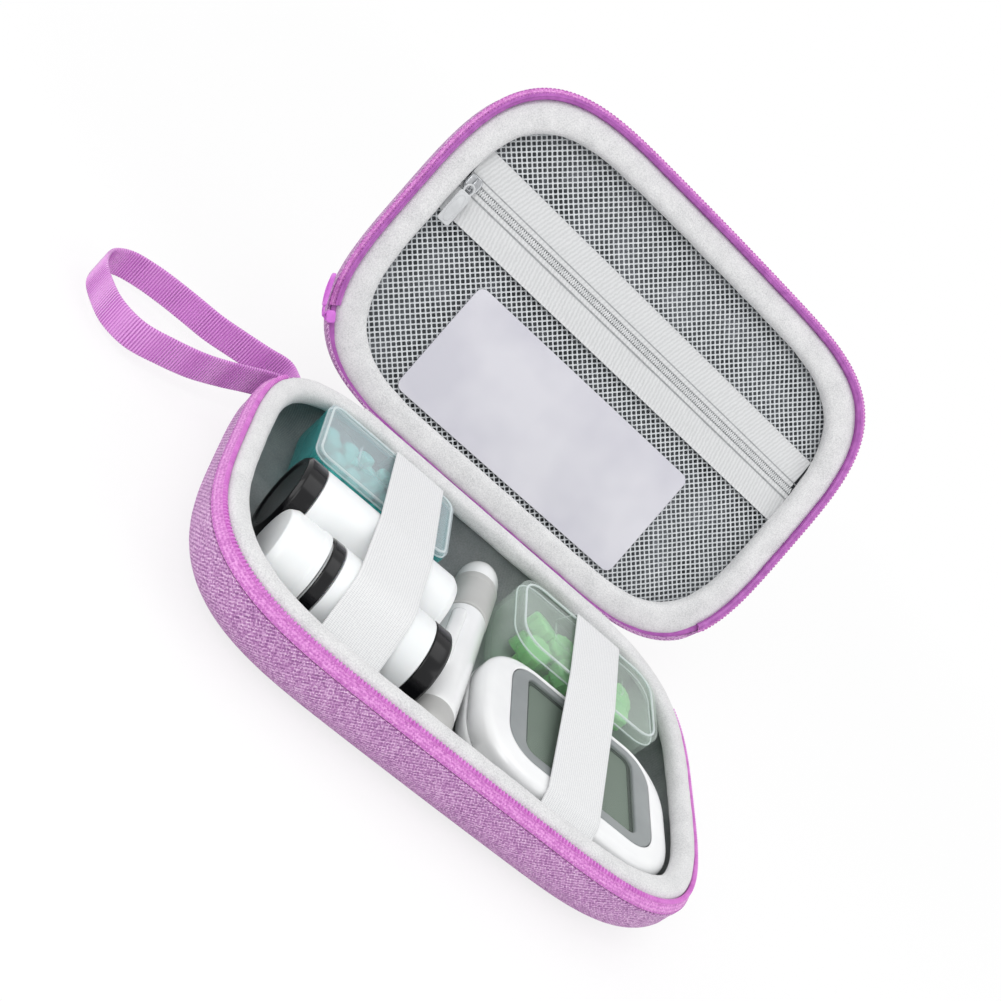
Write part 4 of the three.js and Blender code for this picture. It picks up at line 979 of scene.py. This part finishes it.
def strap_shape():
    """The ribbon's route with cross ribs: its thickness swells once a rib, as a rectified sine."""
    stand_off = GAP + STRAP_THICKNESS / 2

    def root(x):
        return [x, rim_y(x, WALL_STAND, BACK_SHIFT) + stand_off, -STRAP_DEPTH]
    wall_y = rim_y(STRAP_ROOT_X, WALL_STAND, BACK_SHIFT)
    route = [[STRAP_ROOT_X - a * STRAP_REACH, wall_y + b * STRAP_SPREAD, -STRAP_DEPTH - c * STRAP_DROP]
             for a, b, c in STRAP_SHARES]
    path = smooth_path([root(STRAP_ROOT_X + STRAP_GAP / 2), *route, root(STRAP_ROOT_X - STRAP_GAP / 2)])
    path = even_path(path, RIB / 7)
    run = np.arange(len(path)) * RIB / 7
    slope = np.gradient(path, axis=0) * [1, 1, 0]
    slope /= np.linalg.norm(slope, axis=1)[:, None]
    normal = np.stack([-slope[:, 1], slope[:, 0], np.zeros(len(path))], 1)
    half = STRAP_THICKNESS / 2 * (0.72 + 0.3 * np.abs(np.sin(run * math.pi / RIB)))
    scallop = 0.07 * np.abs(np.sin(run * math.pi / RIB))
    side = np.array([-1, -0.93, -0.8, -0.4, 0, 0.4, 0.8, 0.93, 1])
    thick = np.array([0.35, 0.85, 1, 1, 1, 1, 1, 0.85, 0.35])
    section = np.concatenate([np.stack([side, thick], 1), np.stack([side, -thick], 1)[::-1]])
    rows = (path[:, None, :] + section[None, :, 1:] * half[:, None, None] * normal[:, None, :]
            + section[None, :, :1] * (STRAP_WIDTH / 2 + scallop[:, None, None]) * np.array([0, 0, 1.0]))
    return swapped(skin(rows))


made("wrist_ribbon", strap_shape(), ribbon, "strap", ["wrist_strap"], sharp=60)


# The lid's net pocket, its zip and the main zip's slider

NET_PITCH, NET_HEIGHT, NET_INSET = 1.9, 11.65, 8.0
POCKET_Y, TAPE_WIDTH, TAPE_TOP, TAPE_INSET = -18.0, 14.0, 11.0, 9.9


def net_shape(side, seed):
    """Crossed strands on a diamond grid, each run between two knots a thin bar, waisted in the middle.

    Runs whose ends both lie inside the rim's outline and past the tape's edge are kept. The net hangs
    into the pocket a little, as a product of two half sines.
    """
    edge = POCKET_Y + side * (TAPE_WIDTH - 2)
    count = int(RIM_LENGTH / NET_PITCH)
    i, j = np.meshgrid(np.arange(-count, count + 1), np.arange(-count, count + 1), indexing="ij")

    def place(a, b):
        x, y = (a + b) * NET_PITCH / math.sqrt(2), (a - b) * NET_PITCH / math.sqrt(2)
        wave = 0.22 * np.sin(x * 0.21 + seed) + 0.22 * np.sin(y * 0.33 + 2 * seed)
        reach = END_RADIUS - NET_INSET
        fall = np.clip(1 - (np.abs(x) / (RIM_LENGTH / 2 - NET_INSET)) ** 2, 0, 1)
        fall = fall * np.clip(1 - (y / reach) ** 2, 0, 1)
        across = np.clip(np.abs(x) - END_CENTRE, 0, None) / reach
        inside = across ** RIM_EXPONENT + (np.abs(y) / reach) ** RIM_EXPONENT < 1
        return np.stack([x, y, NET_HEIGHT + wave + 0.9 * fall], -1), inside & (side * (y - edge) > 0)
    here, here_in = place(i, j)
    bars = []
    for da, db in ((1, 0), (0, 1)):
        there, there_in = place(i + da, j + db)
        kept = here_in & there_in
        bars.append(np.stack([here[kept], there[kept]], 1))
    bars = np.concatenate(bars)
    run = bars[:, 1] - bars[:, 0]
    length = np.linalg.norm(run, axis=1)
    along = run / length[:, None]
    up = np.tile([0.0, 0.0, 1.0], (len(bars), 1))
    outward = np.cross(up, along)
    outward /= np.linalg.norm(outward, axis=1)[:, None]
    frames = np.stack([along, outward, np.cross(along, outward)], 1)
    half = NET_PITCH / 2
    knot, waist = (0.42, 0.26), (0.23, 0.2)
    rows = [[(x, width * c, height * s) for c, s in ((-1, -1), (1, -1), (1, 1), (-1, 1))]
            for x, (width, height) in zip((-half, -half * 0.4, half * 0.4, half), (knot, waist, waist, knot))]
    return copies(skin(np.array(rows)), bars.mean(1), frames)


for word, side, seed in (("front", -1, 1.3), ("back", 1, 4.1)):
    made(f"{word}_net", opened(net_shape(side, seed)), net_yarn, "lid", [f"lid_net_{word}"], sharp=20)


def pocket_tape_shape(side):
    """A flat tape with a folded edge along the coil, its face waving slightly as sewn tape does."""
    inner, outer = 1.15, TAPE_WIDTH
    reach = END_RADIUS - TAPE_INSET
    far = abs(POCKET_Y + side * outer)
    across_end = reach * (1 - (far / reach) ** RIM_EXPONENT) ** (1 / RIM_EXPONENT)
    length = min(RIM_LENGTH - 2 * TAPE_INSET, 2 * (END_CENTRE + across_end))
    x = np.linspace(-length / 2, length / 2, 220)
    across = np.array([inner + 0.35, inner + 0.5, inner + 1.9, inner + 2.1, 4.5, 7, 10, 12.6, 13.4, outer])
    face = np.array([0.2, 0.42, 0.42, 0.02, 0.08, 0.12, 0.1, 0.06, 0.06, 0.22])
    wave = 0.1 * np.sin(x / 7.0 + side) + 0.05 * np.sin(x / 3.1)
    rows = []
    for place, w in zip(x, wave):
        front = [(place, POCKET_Y + side * a, TAPE_TOP - 0.8 - f + (w if 4 < a < 12 else 0))
                 for a, f in zip(across, face)]
        back = [(place, POCKET_Y + side * a, TAPE_TOP) for a in across[::-1]]
        rows.append(front + back)
    return swapped(skin(np.array(rows)))


for word, side in (("front", -1), ("back", 1)):
    made(f"{word}_pocket_tape", opened(pocket_tape_shape(side)), grey_tape, "lid",
         [f"pocket_tape_{word}"])
POCKET_HALF = RIM_LENGTH / 2 - TAPE_INSET - 0.5


def pocket_bar(middle, width, low, high):
    """A four-sided strip that runs the length of the pocket's zip, between two heights."""
    left, right = middle - width / 2, middle + width / 2
    return skin(np.array([[(end * POCKET_HALF, POCKET_Y + y, z) for y, z in (
        (left, low), (right, low), (right, high), (left, high))] for end in (-1, 1)]))


def pocket_coil_shape():
    """Two rows of small loops that meet in the middle, over a flat core."""
    x = np.arange(-POCKET_HALF, POCKET_HALF, 0.95)
    loops = []
    for side in (-1, 1):
        row = np.tile([POCKET_Y + 0.52 * side, TAPE_TOP - 0.95], (len(x), 1))
        places = np.column_stack([x + 0.24 * side, row])
        frames = np.tile(np.eye(3), (len(x), 1, 1))
        loops.append(copies(moved(bead(1.35, 0.7, 0.8), turn=about("z", 90)), places, frames))
    return joined([*loops, pocket_bar(0, 1.5, TAPE_TOP - 0.75, TAPE_TOP)])


made("pocket_coil_loops", opened(pocket_coil_shape()), grey_coil, "lid", ["pocket_zipper_coil"])


def pocket_groove_shade_shape():
    """Four flat darker strips beside the coil, painted shade where the folded tapes leave a groove."""
    return joined([pocket_bar(side * across, width, TAPE_TOP - 0.98, TAPE_TOP - 0.6)
                   for across, width in ((1.32, 0.34), (3.45, 0.5)) for side in (-1, 1)])


made("pocket_zip_groove_shade", opened(pocket_groove_shade_shape()), groove_shade_strips, "lid")


def tube(path, radius, sides=10, closed=False):
    """A round tube along a path, its section carried on frames that turn as little as possible."""
    path = np.array(path, float)
    slope = np.roll(path, -1, 0) - np.roll(path, 1, 0) if closed else np.gradient(path, axis=0)
    slope /= np.linalg.norm(slope, axis=1)[:, None]
    normal = np.cross(slope[0], [0.3, 0.2, 0.93])
    rows = []
    turn = np.arange(sides) / sides * 2 * np.pi
    for point, heading in zip(path, slope):
        normal = normal - heading * normal.dot(heading)
        normal /= np.linalg.norm(normal)
        ring = np.cos(turn)[:, None] * normal + np.sin(turn)[:, None] * np.cross(heading, normal)
        rows.append(point + radius * ring)
    return skin(np.array(rows), loop_rows=closed)


def ring_path(radius_a, radius_b, count=28):
    turn = np.arange(count) / count * 2 * np.pi
    return np.stack([radius_a * np.cos(turn), radius_b * np.sin(turn), np.zeros(count)], 1)


SLIDER_X, SLIDER_TOP = -85.4, 9.6


def pocket_slider_shape():
    """A waisted body with two flanks, and a bridge that arches over it."""
    body = block((6, 6.6, 2.4), edged(SLIDER_TOP - 1.5, SLIDER_TOP, 0.5))
    nose = block((3.4, 5.2, 1.6), edged(SLIDER_TOP - 1.9, SLIDER_TOP - 0.9, 0.35), shift=(-0.9, 0))
    turn = np.linspace(0, math.pi, 13)
    bridge = np.stack([np.zeros(13), 2.3 * np.cos(turn), SLIDER_TOP - 1.3 - 1.25 * np.sin(turn)], 1)
    return moved(joined([body, nose, tube(bridge, 0.42)]), SLIDER_X, POCKET_Y)


def pull_tab_shape():
    """A flat plate with a hole at its root and a raised border, and the ring that holds it."""
    along, middle = 9.9, SLIDER_TOP - 3.5
    plate = block((5.2, 13.6, 1.1), edged(middle - 0.5, middle + 0.5, 0.3), shift=(0, along))
    border = moved(tube(ring_path(1.9, 5.6, 48), 0.22, 8, closed=True), 0, along, middle - 0.45)
    ring = moved(tube(ring_path(1.75, 2.1), 0.42, 10, closed=True), 0, 1.9, middle)
    return moved(joined([plate, border, ring]), SLIDER_X, POCKET_Y + 1.1)


made("pocket_zip_slider", opened(pocket_slider_shape()), nickel, "pocket_slider",
     ["pocket_slider"])
made("pocket_zip_pull", opened(pull_tab_shape()), satin_tab, "pocket_tab", ["pocket_pull_tab"])


def main_slider_frame():
    """Where the main slider rests: past the left end of the zip, turned along the rim."""
    def at(step):
        turn = step / 8 * math.pi / 2
        power = 2 / RIM_EXPONENT
        s, c = math.sin(turn) ** power, math.cos(turn) ** power
        return np.array([-END_CENTRE - (END_RADIUS + 1.9) * s, (END_RADIUS + 1.9 - BACK_SHIFT) * c])
    seam_end, beyond = at(5), at(4)
    seat = seam_end + (beyond - seam_end) * 0.33
    angle = math.degrees(math.atan2(seam_end[1] - beyond[1], seam_end[0] - beyond[0]))
    return seat, about("z", angle)


SEAT, SEAT_TURN = main_slider_frame()
SEAT_HEIGHT, TAB_SAG = 4.1, 3.2


def seated_on_zip(shape):
    return opened(moved(shape, *SEAT, SEAT_HEIGHT, turn=SEAT_TURN))


def main_slider_shape():
    """Two flanks on a post, with a small bridge for the tab's ring."""
    flanks = [block((4.4, 3.2, 1.2), edged(low, low + 1.2, 0.4)) for low in (-1.9, 0.7)]
    post = block((1.6, 2.2, 0.6), edged(-1.2, 1.2, 0.2), shift=(-1.2, 0))
    rise = 0.9 * np.sin(np.linspace(0, math.pi, 9))
    bridge = np.stack([np.linspace(-1.5, 1.5, 9), -1.3 - rise, np.zeros(9)], 1)
    return joined([*flanks, post, tube(bridge, 0.35)])


def main_tab_shape():
    """A supple moulded tab that leans in along the case, as a parabola of its length."""
    tab = joined([
        moved(block((11.6, 4.4, 1.3), edged(-0.6, 0.6, 0.35)), 9.2),
        moved(tube(ring_path(1.9, 1.5), 0.35, 8, closed=True), 1.9),
        moved(tube(ring_path(4.4, 1.1, 40), 0.2, 6, closed=True), 9.4, 0, 0.55),
    ])
    tab = moved(tab, y=-2.6, turn=about("x", 90))
    tab[0][:, 1] += TAB_SAG * (tab[0][:, 0] / 15) ** 2
    return tab


made("main_zip_slider", seated_on_zip(main_slider_shape()), pink_tab, "lid", ["main_slider"])
made("main_zip_pull", seated_on_zip(main_tab_shape()), pink_tab, "main_tab", ["main_pull_tab"])


# The meter

BEZEL_PLAN, BEZEL_SHIFT = (64.4, 44, 12), (0.9, 2.4)
LENS_PLAN, LENS_SHIFT = (49, 36.5, 4), (0.8, 3.2)
METER_TOP, METER_WALL = METER["height"], 1.8


def seated(thing, shape):
    return moved(shape, *thing["place"], STAND)


def plan_rows(plan, layers, shift=(0, 0)):
    return [plan_row(plan, inset, height, shift) for inset, height in layers]


def meter_back_shape():
    """A dish: a quarter round from its flat back up to the seam, and back down inside."""
    seam = METER["split"] - 0.15
    turn = np.linspace(math.pi / 2, 0, 9)
    outer = [(9 * (1 - math.cos(t)), 9 * (1 - math.sin(t))) for t in turn] + [(0, seam - 0.4), (0.3, seam)]
    return block(METER["plan"], [*outer, (METER_WALL, seam), (METER_WALL, 9), (4.4, 4.4), (9, METER_WALL)])


def meter_front_shape():
    """The top shell: a wall, a superelliptic shoulder, a slightly crowned border and the bezel's opening."""
    seam, ceiling = METER["split"] + 0.15, METER_TOP - 1.9
    turn = np.linspace(0, math.pi / 2, 10)
    shoulder = [(4 * (1 - math.cos(t) ** 0.85), METER_TOP - 4.35 + 4 * math.sin(t) ** 0.85) for t in turn]
    opening = [(-1.5, METER_TOP - 0.12), (-0.75, METER_TOP - 0.08), (-0.3, METER_TOP - 0.35), (-0.3, ceiling)]
    rows = [*plan_rows(METER["plan"], [(0.3, seam), (0, seam + 0.4), *shoulder]),
            *plan_rows(BEZEL_PLAN, opening, BEZEL_SHIFT),
            *plan_rows(METER["plan"], [(METER_WALL, ceiling), (METER_WALL, seam)])]
    return skin(np.array(rows), loop_rows=True)


def bezel_shape():
    """A flat frame, its outer edge eased and its inner edge sloping down to the window."""
    rows = [*plan_rows(BEZEL_PLAN, [(0, 18), (0, 19.1), (0.25, 19.35)], BEZEL_SHIFT),
            *plan_rows(LENS_PLAN, [(-0.9, 19.35), (-0.5, 19.2), (-0.3, 18.9), (-0.3, 18)], LENS_SHIFT)]
    return skin(np.array(rows), loop_rows=True)


def edge_shade_shape():
    """A dark flat frame under the window, painted shade for the display's recessed edge."""
    rows = plan_rows(LENS_PLAN, [(-1.5, 17.8), (-1.5, 17.92), (1.1, 17.92), (1.1, 17.8)], LENS_SHIFT)
    return skin(np.array(rows), loop_rows=True)


window = block(LENS_PLAN, [(0, 18.0), (0, 18.75), (0.15, 18.9)], LENS_SHIFT)
for name, shape, material, slot, solids in (
        ("lower_shell", meter_back_shape(), white_abs, "white_abs", ["meter_back_case"]),
        ("upper_shell", meter_front_shape(), white_abs, "white_abs", ["meter_front_case"]),
        ("face_frame", bezel_shape(), grey_abs, "grey_abs", ["meter_bezel"]),
        ("window", window, window_acrylic, "lens", ["meter_lens"]),
        ("display_edge_shade", edge_shade_shape(), display_edge_shade, "lcd", ())):
    made(f"meter_{name}", seated(METER, shape), material, "meter", solids)
for side, word in ((-1, "left"), (1, "right")):
    cap = moved(block((12, 2.8, 1.2), edged(0, 4.6, 0.6)), turn=about("x", 90))
    made(f"meter_{word}_key", seated(METER, moved(cap, side * 12, -METER["plan"][1] / 2 - 0.85 + 4.6, 14.2)),
         grey_abs, f"{word}_button", [f"meter_{word}_button"])


# The lancing pen, worked out along Z from its tail and then laid down

PEN_TAIL, PEN_TILT, PEN_LENGTH, PEN_RADIUS, PEN_RING = (-9.2, -54.0), 8.63, 112.0, 8.3, 8.5
PEN_TURN = about("z", -PEN_TILT) @ about("x", -90)


def on_pen(shape, turn=PEN_TURN):
    return moved(shape, *PEN_TAIL, STAND + PEN_RING, turn=turn)


TAIL_CURVE = [(PEN_RADIUS - 2.6 * (1 - math.sin(t)), 3.4 * (1 - math.cos(t)))
              for t in np.linspace(0, math.pi / 2, 9)]
SLEEVE = [(0, 0.5), (4.2, 0.5), (4.8, 0), *TAIL_CURVE, (PEN_RADIUS, 12), (3.5, 12), (3.5, 3.0), (0, 3.0)]
BARREL = [(6.9, 12.3), (PEN_RADIUS - 0.5, 12.3), (PEN_RADIUS - 0.1, 12.9), (PEN_RADIUS, 15),
          (PEN_RADIUS + 0.1, 42), (PEN_RADIUS, 71), (PEN_RADIUS - 0.4, 72), (6.9, 72)]
DIAL = [(6.9, 72.3), (8.1, 72.3), (PEN_RING, 72.9), (PEN_RING, 91.2), (8.3, 91.6), (PEN_RING, 92.0),
        (PEN_RING, 95.2), (8.15, 95.7), (6.9, 95.7)]
NOSE_CURVE = [(8.0 * (1 - 0.5 * t ** 3.2), 96.4 + 14.9 * t) for t in np.linspace(0, 1, 15)]
NOSE = [(6.6, 96), (7.9, 96), *NOSE_CURVE, (3.2, PEN_LENGTH), (1.6, PEN_LENGTH), (1.6, 110.6), (4.8, 107.8)]
for name, profile, soft, material, body, slot, solid in (
        ("rear_sleeve", SLEEVE, 0.3, pen_grey, "pen_sleeve", "grey_abs", "cocking_sleeve"),
        ("white_barrel", BARREL, 0.4, white_abs, "pen", "white_abs", "barrel"),
        ("depth_dial_ring", DIAL, 0.25, pen_grey, "pen_dial", "grey_abs", "depth_ring"),
        ("domed_nose", NOSE, 0.35, white_abs, "pen_dial", "white_abs", "nose_cap")):
    made(f"pen_{name}", on_pen(turned(profile, soft)), material, body, [f"pen_{solid}"])


def pen_spring_shape():
    """A helix of nine turns between the sleeve and the barrel's inner shoulder."""
    turn = np.linspace(0, 18 * math.pi, 260)
    path = np.stack([5.1 * np.cos(turn), 5.1 * np.sin(turn), 13 + 16 * turn / turn[-1]], 1)
    return tube(path, 0.45, 8)


# A long key whose outline is a stadium and whose face is crowned along its length.
KEY_LAYERS = [(0, 6.2), (0, 8.9), (0.25, 9.35), (0.8, 9.6), (1.6, 9.7)]
key = moved(moved(block((5, 36, 2.5), KEY_LAYERS, exponent=2.0), y=48), turn=about("y", -40))
made("pen_release_key", on_pen(key, about("z", -PEN_TILT)), white_abs, "pen_button",
     ["pen_release_button"])
made("pen_coil_spring", on_pen(pen_spring_shape()), brushed_steel, "pen", ["pen_spring"])


# The strip vials, worked out along Z from their black ends

R = VIAL_RADIUS
CUP = [(0, 0.6), (11.4, 0.6), (12.0, 0), (13.6, 0), (R, 1.2), (R, 7), (13.7, 7), (13.7, 1.5), (0, 1.5)]
BODY = [(0, 1.75), (13.3, 1.75), (13.3, 7.3), (R - 0.1, 7.3), (R - 0.05, 20), (R - 0.1, 43), (13.3, 43),
        (13.3, 47.8), (12.2, 47.8), (12.2, 3.2), (0, 3.2)]
COLLAR = [(13.8, 43.4), (R - 0.2, 43.4), (R, 43.8), (R, 47.2), (R - 0.2, 47.6), (13.8, 47.6)]
CAP = [(0, 61.9), (12.2, 61.9), (12.2, 48.4), (R - 0.2, 48.4), (R, 49.2), (R, 50.8), (R - 0.35, 51.2),
       (R - 0.35, 60.6), (R - 1.6, 62.9), (0, 63.2)]
thumb_lip = moved(block((9, 2.2, 0.9), edged(-1.1, 1.1, 0.5)), 0, R - 0.2, 50)
VIAL_PARTS = [
    ("black_end", turned(CUP, 0.35), black_pp, "vial", "black_gloss", "end_cup"),
    ("white_body", turned(BODY, 0.4), white_pp, "vial", "white_abs", "body"),
    ("black_collar", turned(COLLAR, 0.2), black_pp, "vial", "black_gloss", "collar"),
    ("flip_cap", joined([turned(CAP, 0.5), thumb_lip]), white_pp, "cap", "white_abs", "cap"),
]
for word, side, x, y in (("rear", -1, VIAL_X, VIAL_REAR_Y), ("front", 1, VIAL_X + VIAL_LENGTH, VIAL_FRONT_Y)):
    for name, shape, material, body, slot, solid in VIAL_PARTS:
        laid = moved(shape, x, y, VIAL_Z, turn=about("z", side * 90) @ about("x", -90))
        made(f"{word}_vial_{name}", laid, material, f"{word}_{body}", [f"{word}_vial_{solid}"])


# The lancet boxes

def tray_shape(box):
    """A bowl with a rounded foot, an even wall and a small flange under the lid."""
    split, wall = box["height"] - box["lid"] - 0.3, 1.5
    foot = [(8 * (1 - math.sin(t)), 8 * (1 - math.cos(t))) for t in np.linspace(0, math.pi / 2, 9)]
    inner = [(wall, split), (wall, 9), *[(inset + wall, z + wall) for inset, z in foot[-2::-1]]]
    return block(box["plan"], [*foot, (0.25, split - 2.2), (0.0, split - 1.9), (0.0, split), *inner])


def box_lid_shape(box, rim_width, sink):
    """A lid whose face is sunk inside a raised, rounded rim."""
    bottom, top = box["height"] - box["lid"], box["height"]
    layers = [(0.4, bottom), (0, bottom + 0.3), (0, top - 0.7), (0.25, top - 0.2), (0.8, top),
              (rim_width - 0.5, top), (rim_width, top - 0.15), (rim_width + 0.4, top - sink),
              (rim_width + 3, top - sink)]
    return block(box["plan"], layers)


def u_ridge(box, length, width, lift):
    """A moulded line in the shape of a U that stands a little above the lid's face."""
    corner, x, y = 1.5, length / 2, width / 2
    turn = np.linspace(0, math.pi / 2, 6)
    left = [(-x + corner - corner * math.cos(t), -y + corner - corner * math.sin(t)) for t in turn]
    right = [(x - corner + corner * math.sin(t), -y + corner - corner * math.cos(t)) for t in turn]
    flat = [(-x, y), *left, *right, (x, y)]
    path = even_path(np.array([(x, y, box["height"] - lift) for x, y in flat]), 1.2)
    return tube(path, 0.4, 8)


def rim_highlight_lines(box, inset):
    """Hazy whitish tubes along the corners, painted highlight for the light they catch: one round the rim's
    top and one round the lid's foot.
    """
    lines = []
    top, foot = box["height"] - 0.15, box["height"] - box["lid"] + 0.35
    for into, height, radius in ((inset, top, 0.42), (0.35, foot, 0.3)):
        ring = plan_row(box["plan"], into, height)
        lines.append(tube(even_path(np.concatenate([ring, ring[:1]]), 0.9)[:-1], radius, 8, closed=True))
    return joined(lines)


def lancets_shape(radius, top, pitch, seed, columns, rows):
    """Rows of lancets: a body, a neck and a round twist-off cap, each leaning its own seeded way."""
    rng = np.random.default_rng(seed)
    lean = 15
    body = turned([(0, 0), (radius * 0.62, 0), (radius * 0.62, top * 0.45), (radius * 0.3, top * 0.5),
                   (radius * 0.3, top * 0.62), (0, top * 0.62)], 0.4, 16, steps=3)
    ribs = 1 + 0.05 * np.cos(np.arange(24) * math.pi)
    cap = turned([(0, top * 0.6), (radius * 0.9, top * 0.6), (radius, top * 0.64), (radius, top * 0.94),
                  (radius * 0.86, top), (0, top)], 0.3, 24, steps=3)
    cap[0][:-2, :2] *= np.tile(ribs, (len(cap[0]) - 2) // 24)[:, None]
    one = joined([body, cap])
    places, frames = [], []
    for row in range(rows):
        for column in range(columns):
            places.append([(column - (columns - 1) / 2) * pitch, (row - (rows - 1) / 2) * pitch, 3.2])
            frames.append((about("x", rng.uniform(-lean, lean)) @ about("y", rng.uniform(-lean, lean))
                           @ about("z", rng.uniform(0, 180))).T)
    return copies(one, np.array(places), np.array(frames))


for word, box, bowl, cover, slot, lid, ridge, inset, kind, lancets, stock, lancet_slot in (
        ("left", LEFT_BOX, teal_pp, teal_clear, "teal_pp", (2.2, 0.5), (26, 11, 0.5), 1.4, "twist",
         (3.1, 15.4, 6.6, 5, 7, 4), teal_pe, "teal_pp"),
        ("right", RIGHT_BOX, clear_ps, clear_ps, "clear_pp", (3.0, 0.7), (34, 10, 0.7), 2.2, "round",
         (6.0, 15.2, 12.7, 9, 4, 2), green_pe, "green_pe")):
    for name, shape, material, body, part_slot, solids in (
            ("bowl", tray_shape(box), bowl, "box", slot, [f"{word}_box_tray"]),
            ("cover", joined([box_lid_shape(box, *lid), u_ridge(box, *ridge)]), cover, "lid", slot,
             [f"{word}_box_lid"]),
            ("rim_highlight_lines", rim_highlight_lines(box, inset), painted_edge_highlight, "lid", slot, ()),
            (f"{kind}_lancets", lancets_shape(*lancets), stock, "box", lancet_slot, [f"{word}_box_lancets"])):
        made(f"{word}_box_{name}", seated(box, shape), material, f"{word}_{body}", solids)


# Finishes of the solids that show as they are

for name, material in {
    "base_shell": eva_foam, "lid_shell": eva_foam, "info_card": card_stock, "meter_display": lcd_film,
    "meter_circuit_board": solder_mask, "meter_battery": brushed_steel, "meter_battery_door": white_abs,
    "pen_lancet_holder": grey_abs,
}.items():
    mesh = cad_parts[name].data
    mesh.materials.clear()
    mesh.materials.append(material)


# Floor, backdrop and lights

def seen_rays(tree, first, *others):
    """One for the kinds of ray named, and nought for the rest."""
    rays = node(tree, "LightPath", out=None)
    seen = rays[first]
    for kind in others:
        seen = node(tree, "Math", [seen, rays[kind]], operation="MAXIMUM")
    return seen


def shadow_floor(name, surface, near, reach):
    """A floor that shows as white to the camera and to gloss, and near the object keeps a shadow."""
    material = bpy.data.materials.new(name)
    material.use_nodes = True
    tree = material.node_tree
    tree.nodes.clear()
    diffuse = node(tree, "BsdfDiffuse", [linear(surface)])
    glow = node(tree, "Emission", [(1, 1, 1, 1), 1.0])
    away = node(tree, "VectorMath", [node(tree, "TexCoord", out="Object")], out="Value", operation="LENGTH")
    white = node(tree, "MapRange", [away, reach / 2, reach, near, 1.0])
    seen = seen_rays(tree, "Is Camera Ray", "Is Glossy Ray", "Is Transmission Ray")
    share = node(tree, "Math", [seen, white], operation="MULTIPLY")
    node(tree, "OutputMaterial", [node(tree, "MixShader", [share, diffuse, glow])], out=None)
    return material


floor_mesh = bpy.data.meshes.new("floor")
floor_mesh.from_pydata([(-6, -6, 0), (6, -6, 0), (6, 6, 0), (-6, 6, 0)], [], [(0, 1, 2, 3)])
floor_mesh.materials.append(shadow_floor("pale floor", "#F8F8F8", 0.8, 0.7))
floor = bpy.data.objects.new("floor", floor_mesh)
bpy.context.scene.collection.objects.link(floor)

world = bpy.data.worlds.new("studio")
scene.world = world
world.use_nodes = True
tree = world.node_tree
tree.nodes.clear()
skies = [node(tree, "Background", [(1, 1, 1, 1), strength]) for strength in (0.62, 1.0)]
sky = node(tree, "MixShader", [seen_rays(tree, "Is Camera Ray", "Is Glossy Ray"), *skies])
node(tree, "OutputWorld", [sky], out=None)


def soft_box(name, place, aim, size, power):
    """A square soft box that faces a point."""
    data = bpy.data.lights.new(name, "AREA")
    data.size = size
    data.energy = power
    lamp = bpy.data.objects.new(name, data)
    place, aim = np.array(place, float), np.array(aim, float)
    back = (place - aim) / np.linalg.norm(place - aim)
    side = np.cross([0.01, 1, 0.02], back)
    side /= np.linalg.norm(side)
    matrix = np.eye(4)
    matrix[:3, 0], matrix[:3, 1], matrix[:3, 2], matrix[:3, 3] = side, np.cross(back, side), back, place
    lamp.matrix_world = Matrix(matrix.tolist())
    bpy.context.scene.collection.objects.link(lamp)


soft_box("key", (-0.7, -0.9, 1.1), (0, 0, 0.05), 0.9, 7.5)
soft_box("fill", (1.0, -0.6, 0.8), (0, 0, 0.05), 1.0, 3.5)
soft_box("top", (0.1, 0.1, 1.4), (0, 0, 0.05), 1.0, 4.0)
soft_box("side", (-1.1, 0.1, 0.35), (-0.1, 0.05, 0.02), 0.6, 2.0)
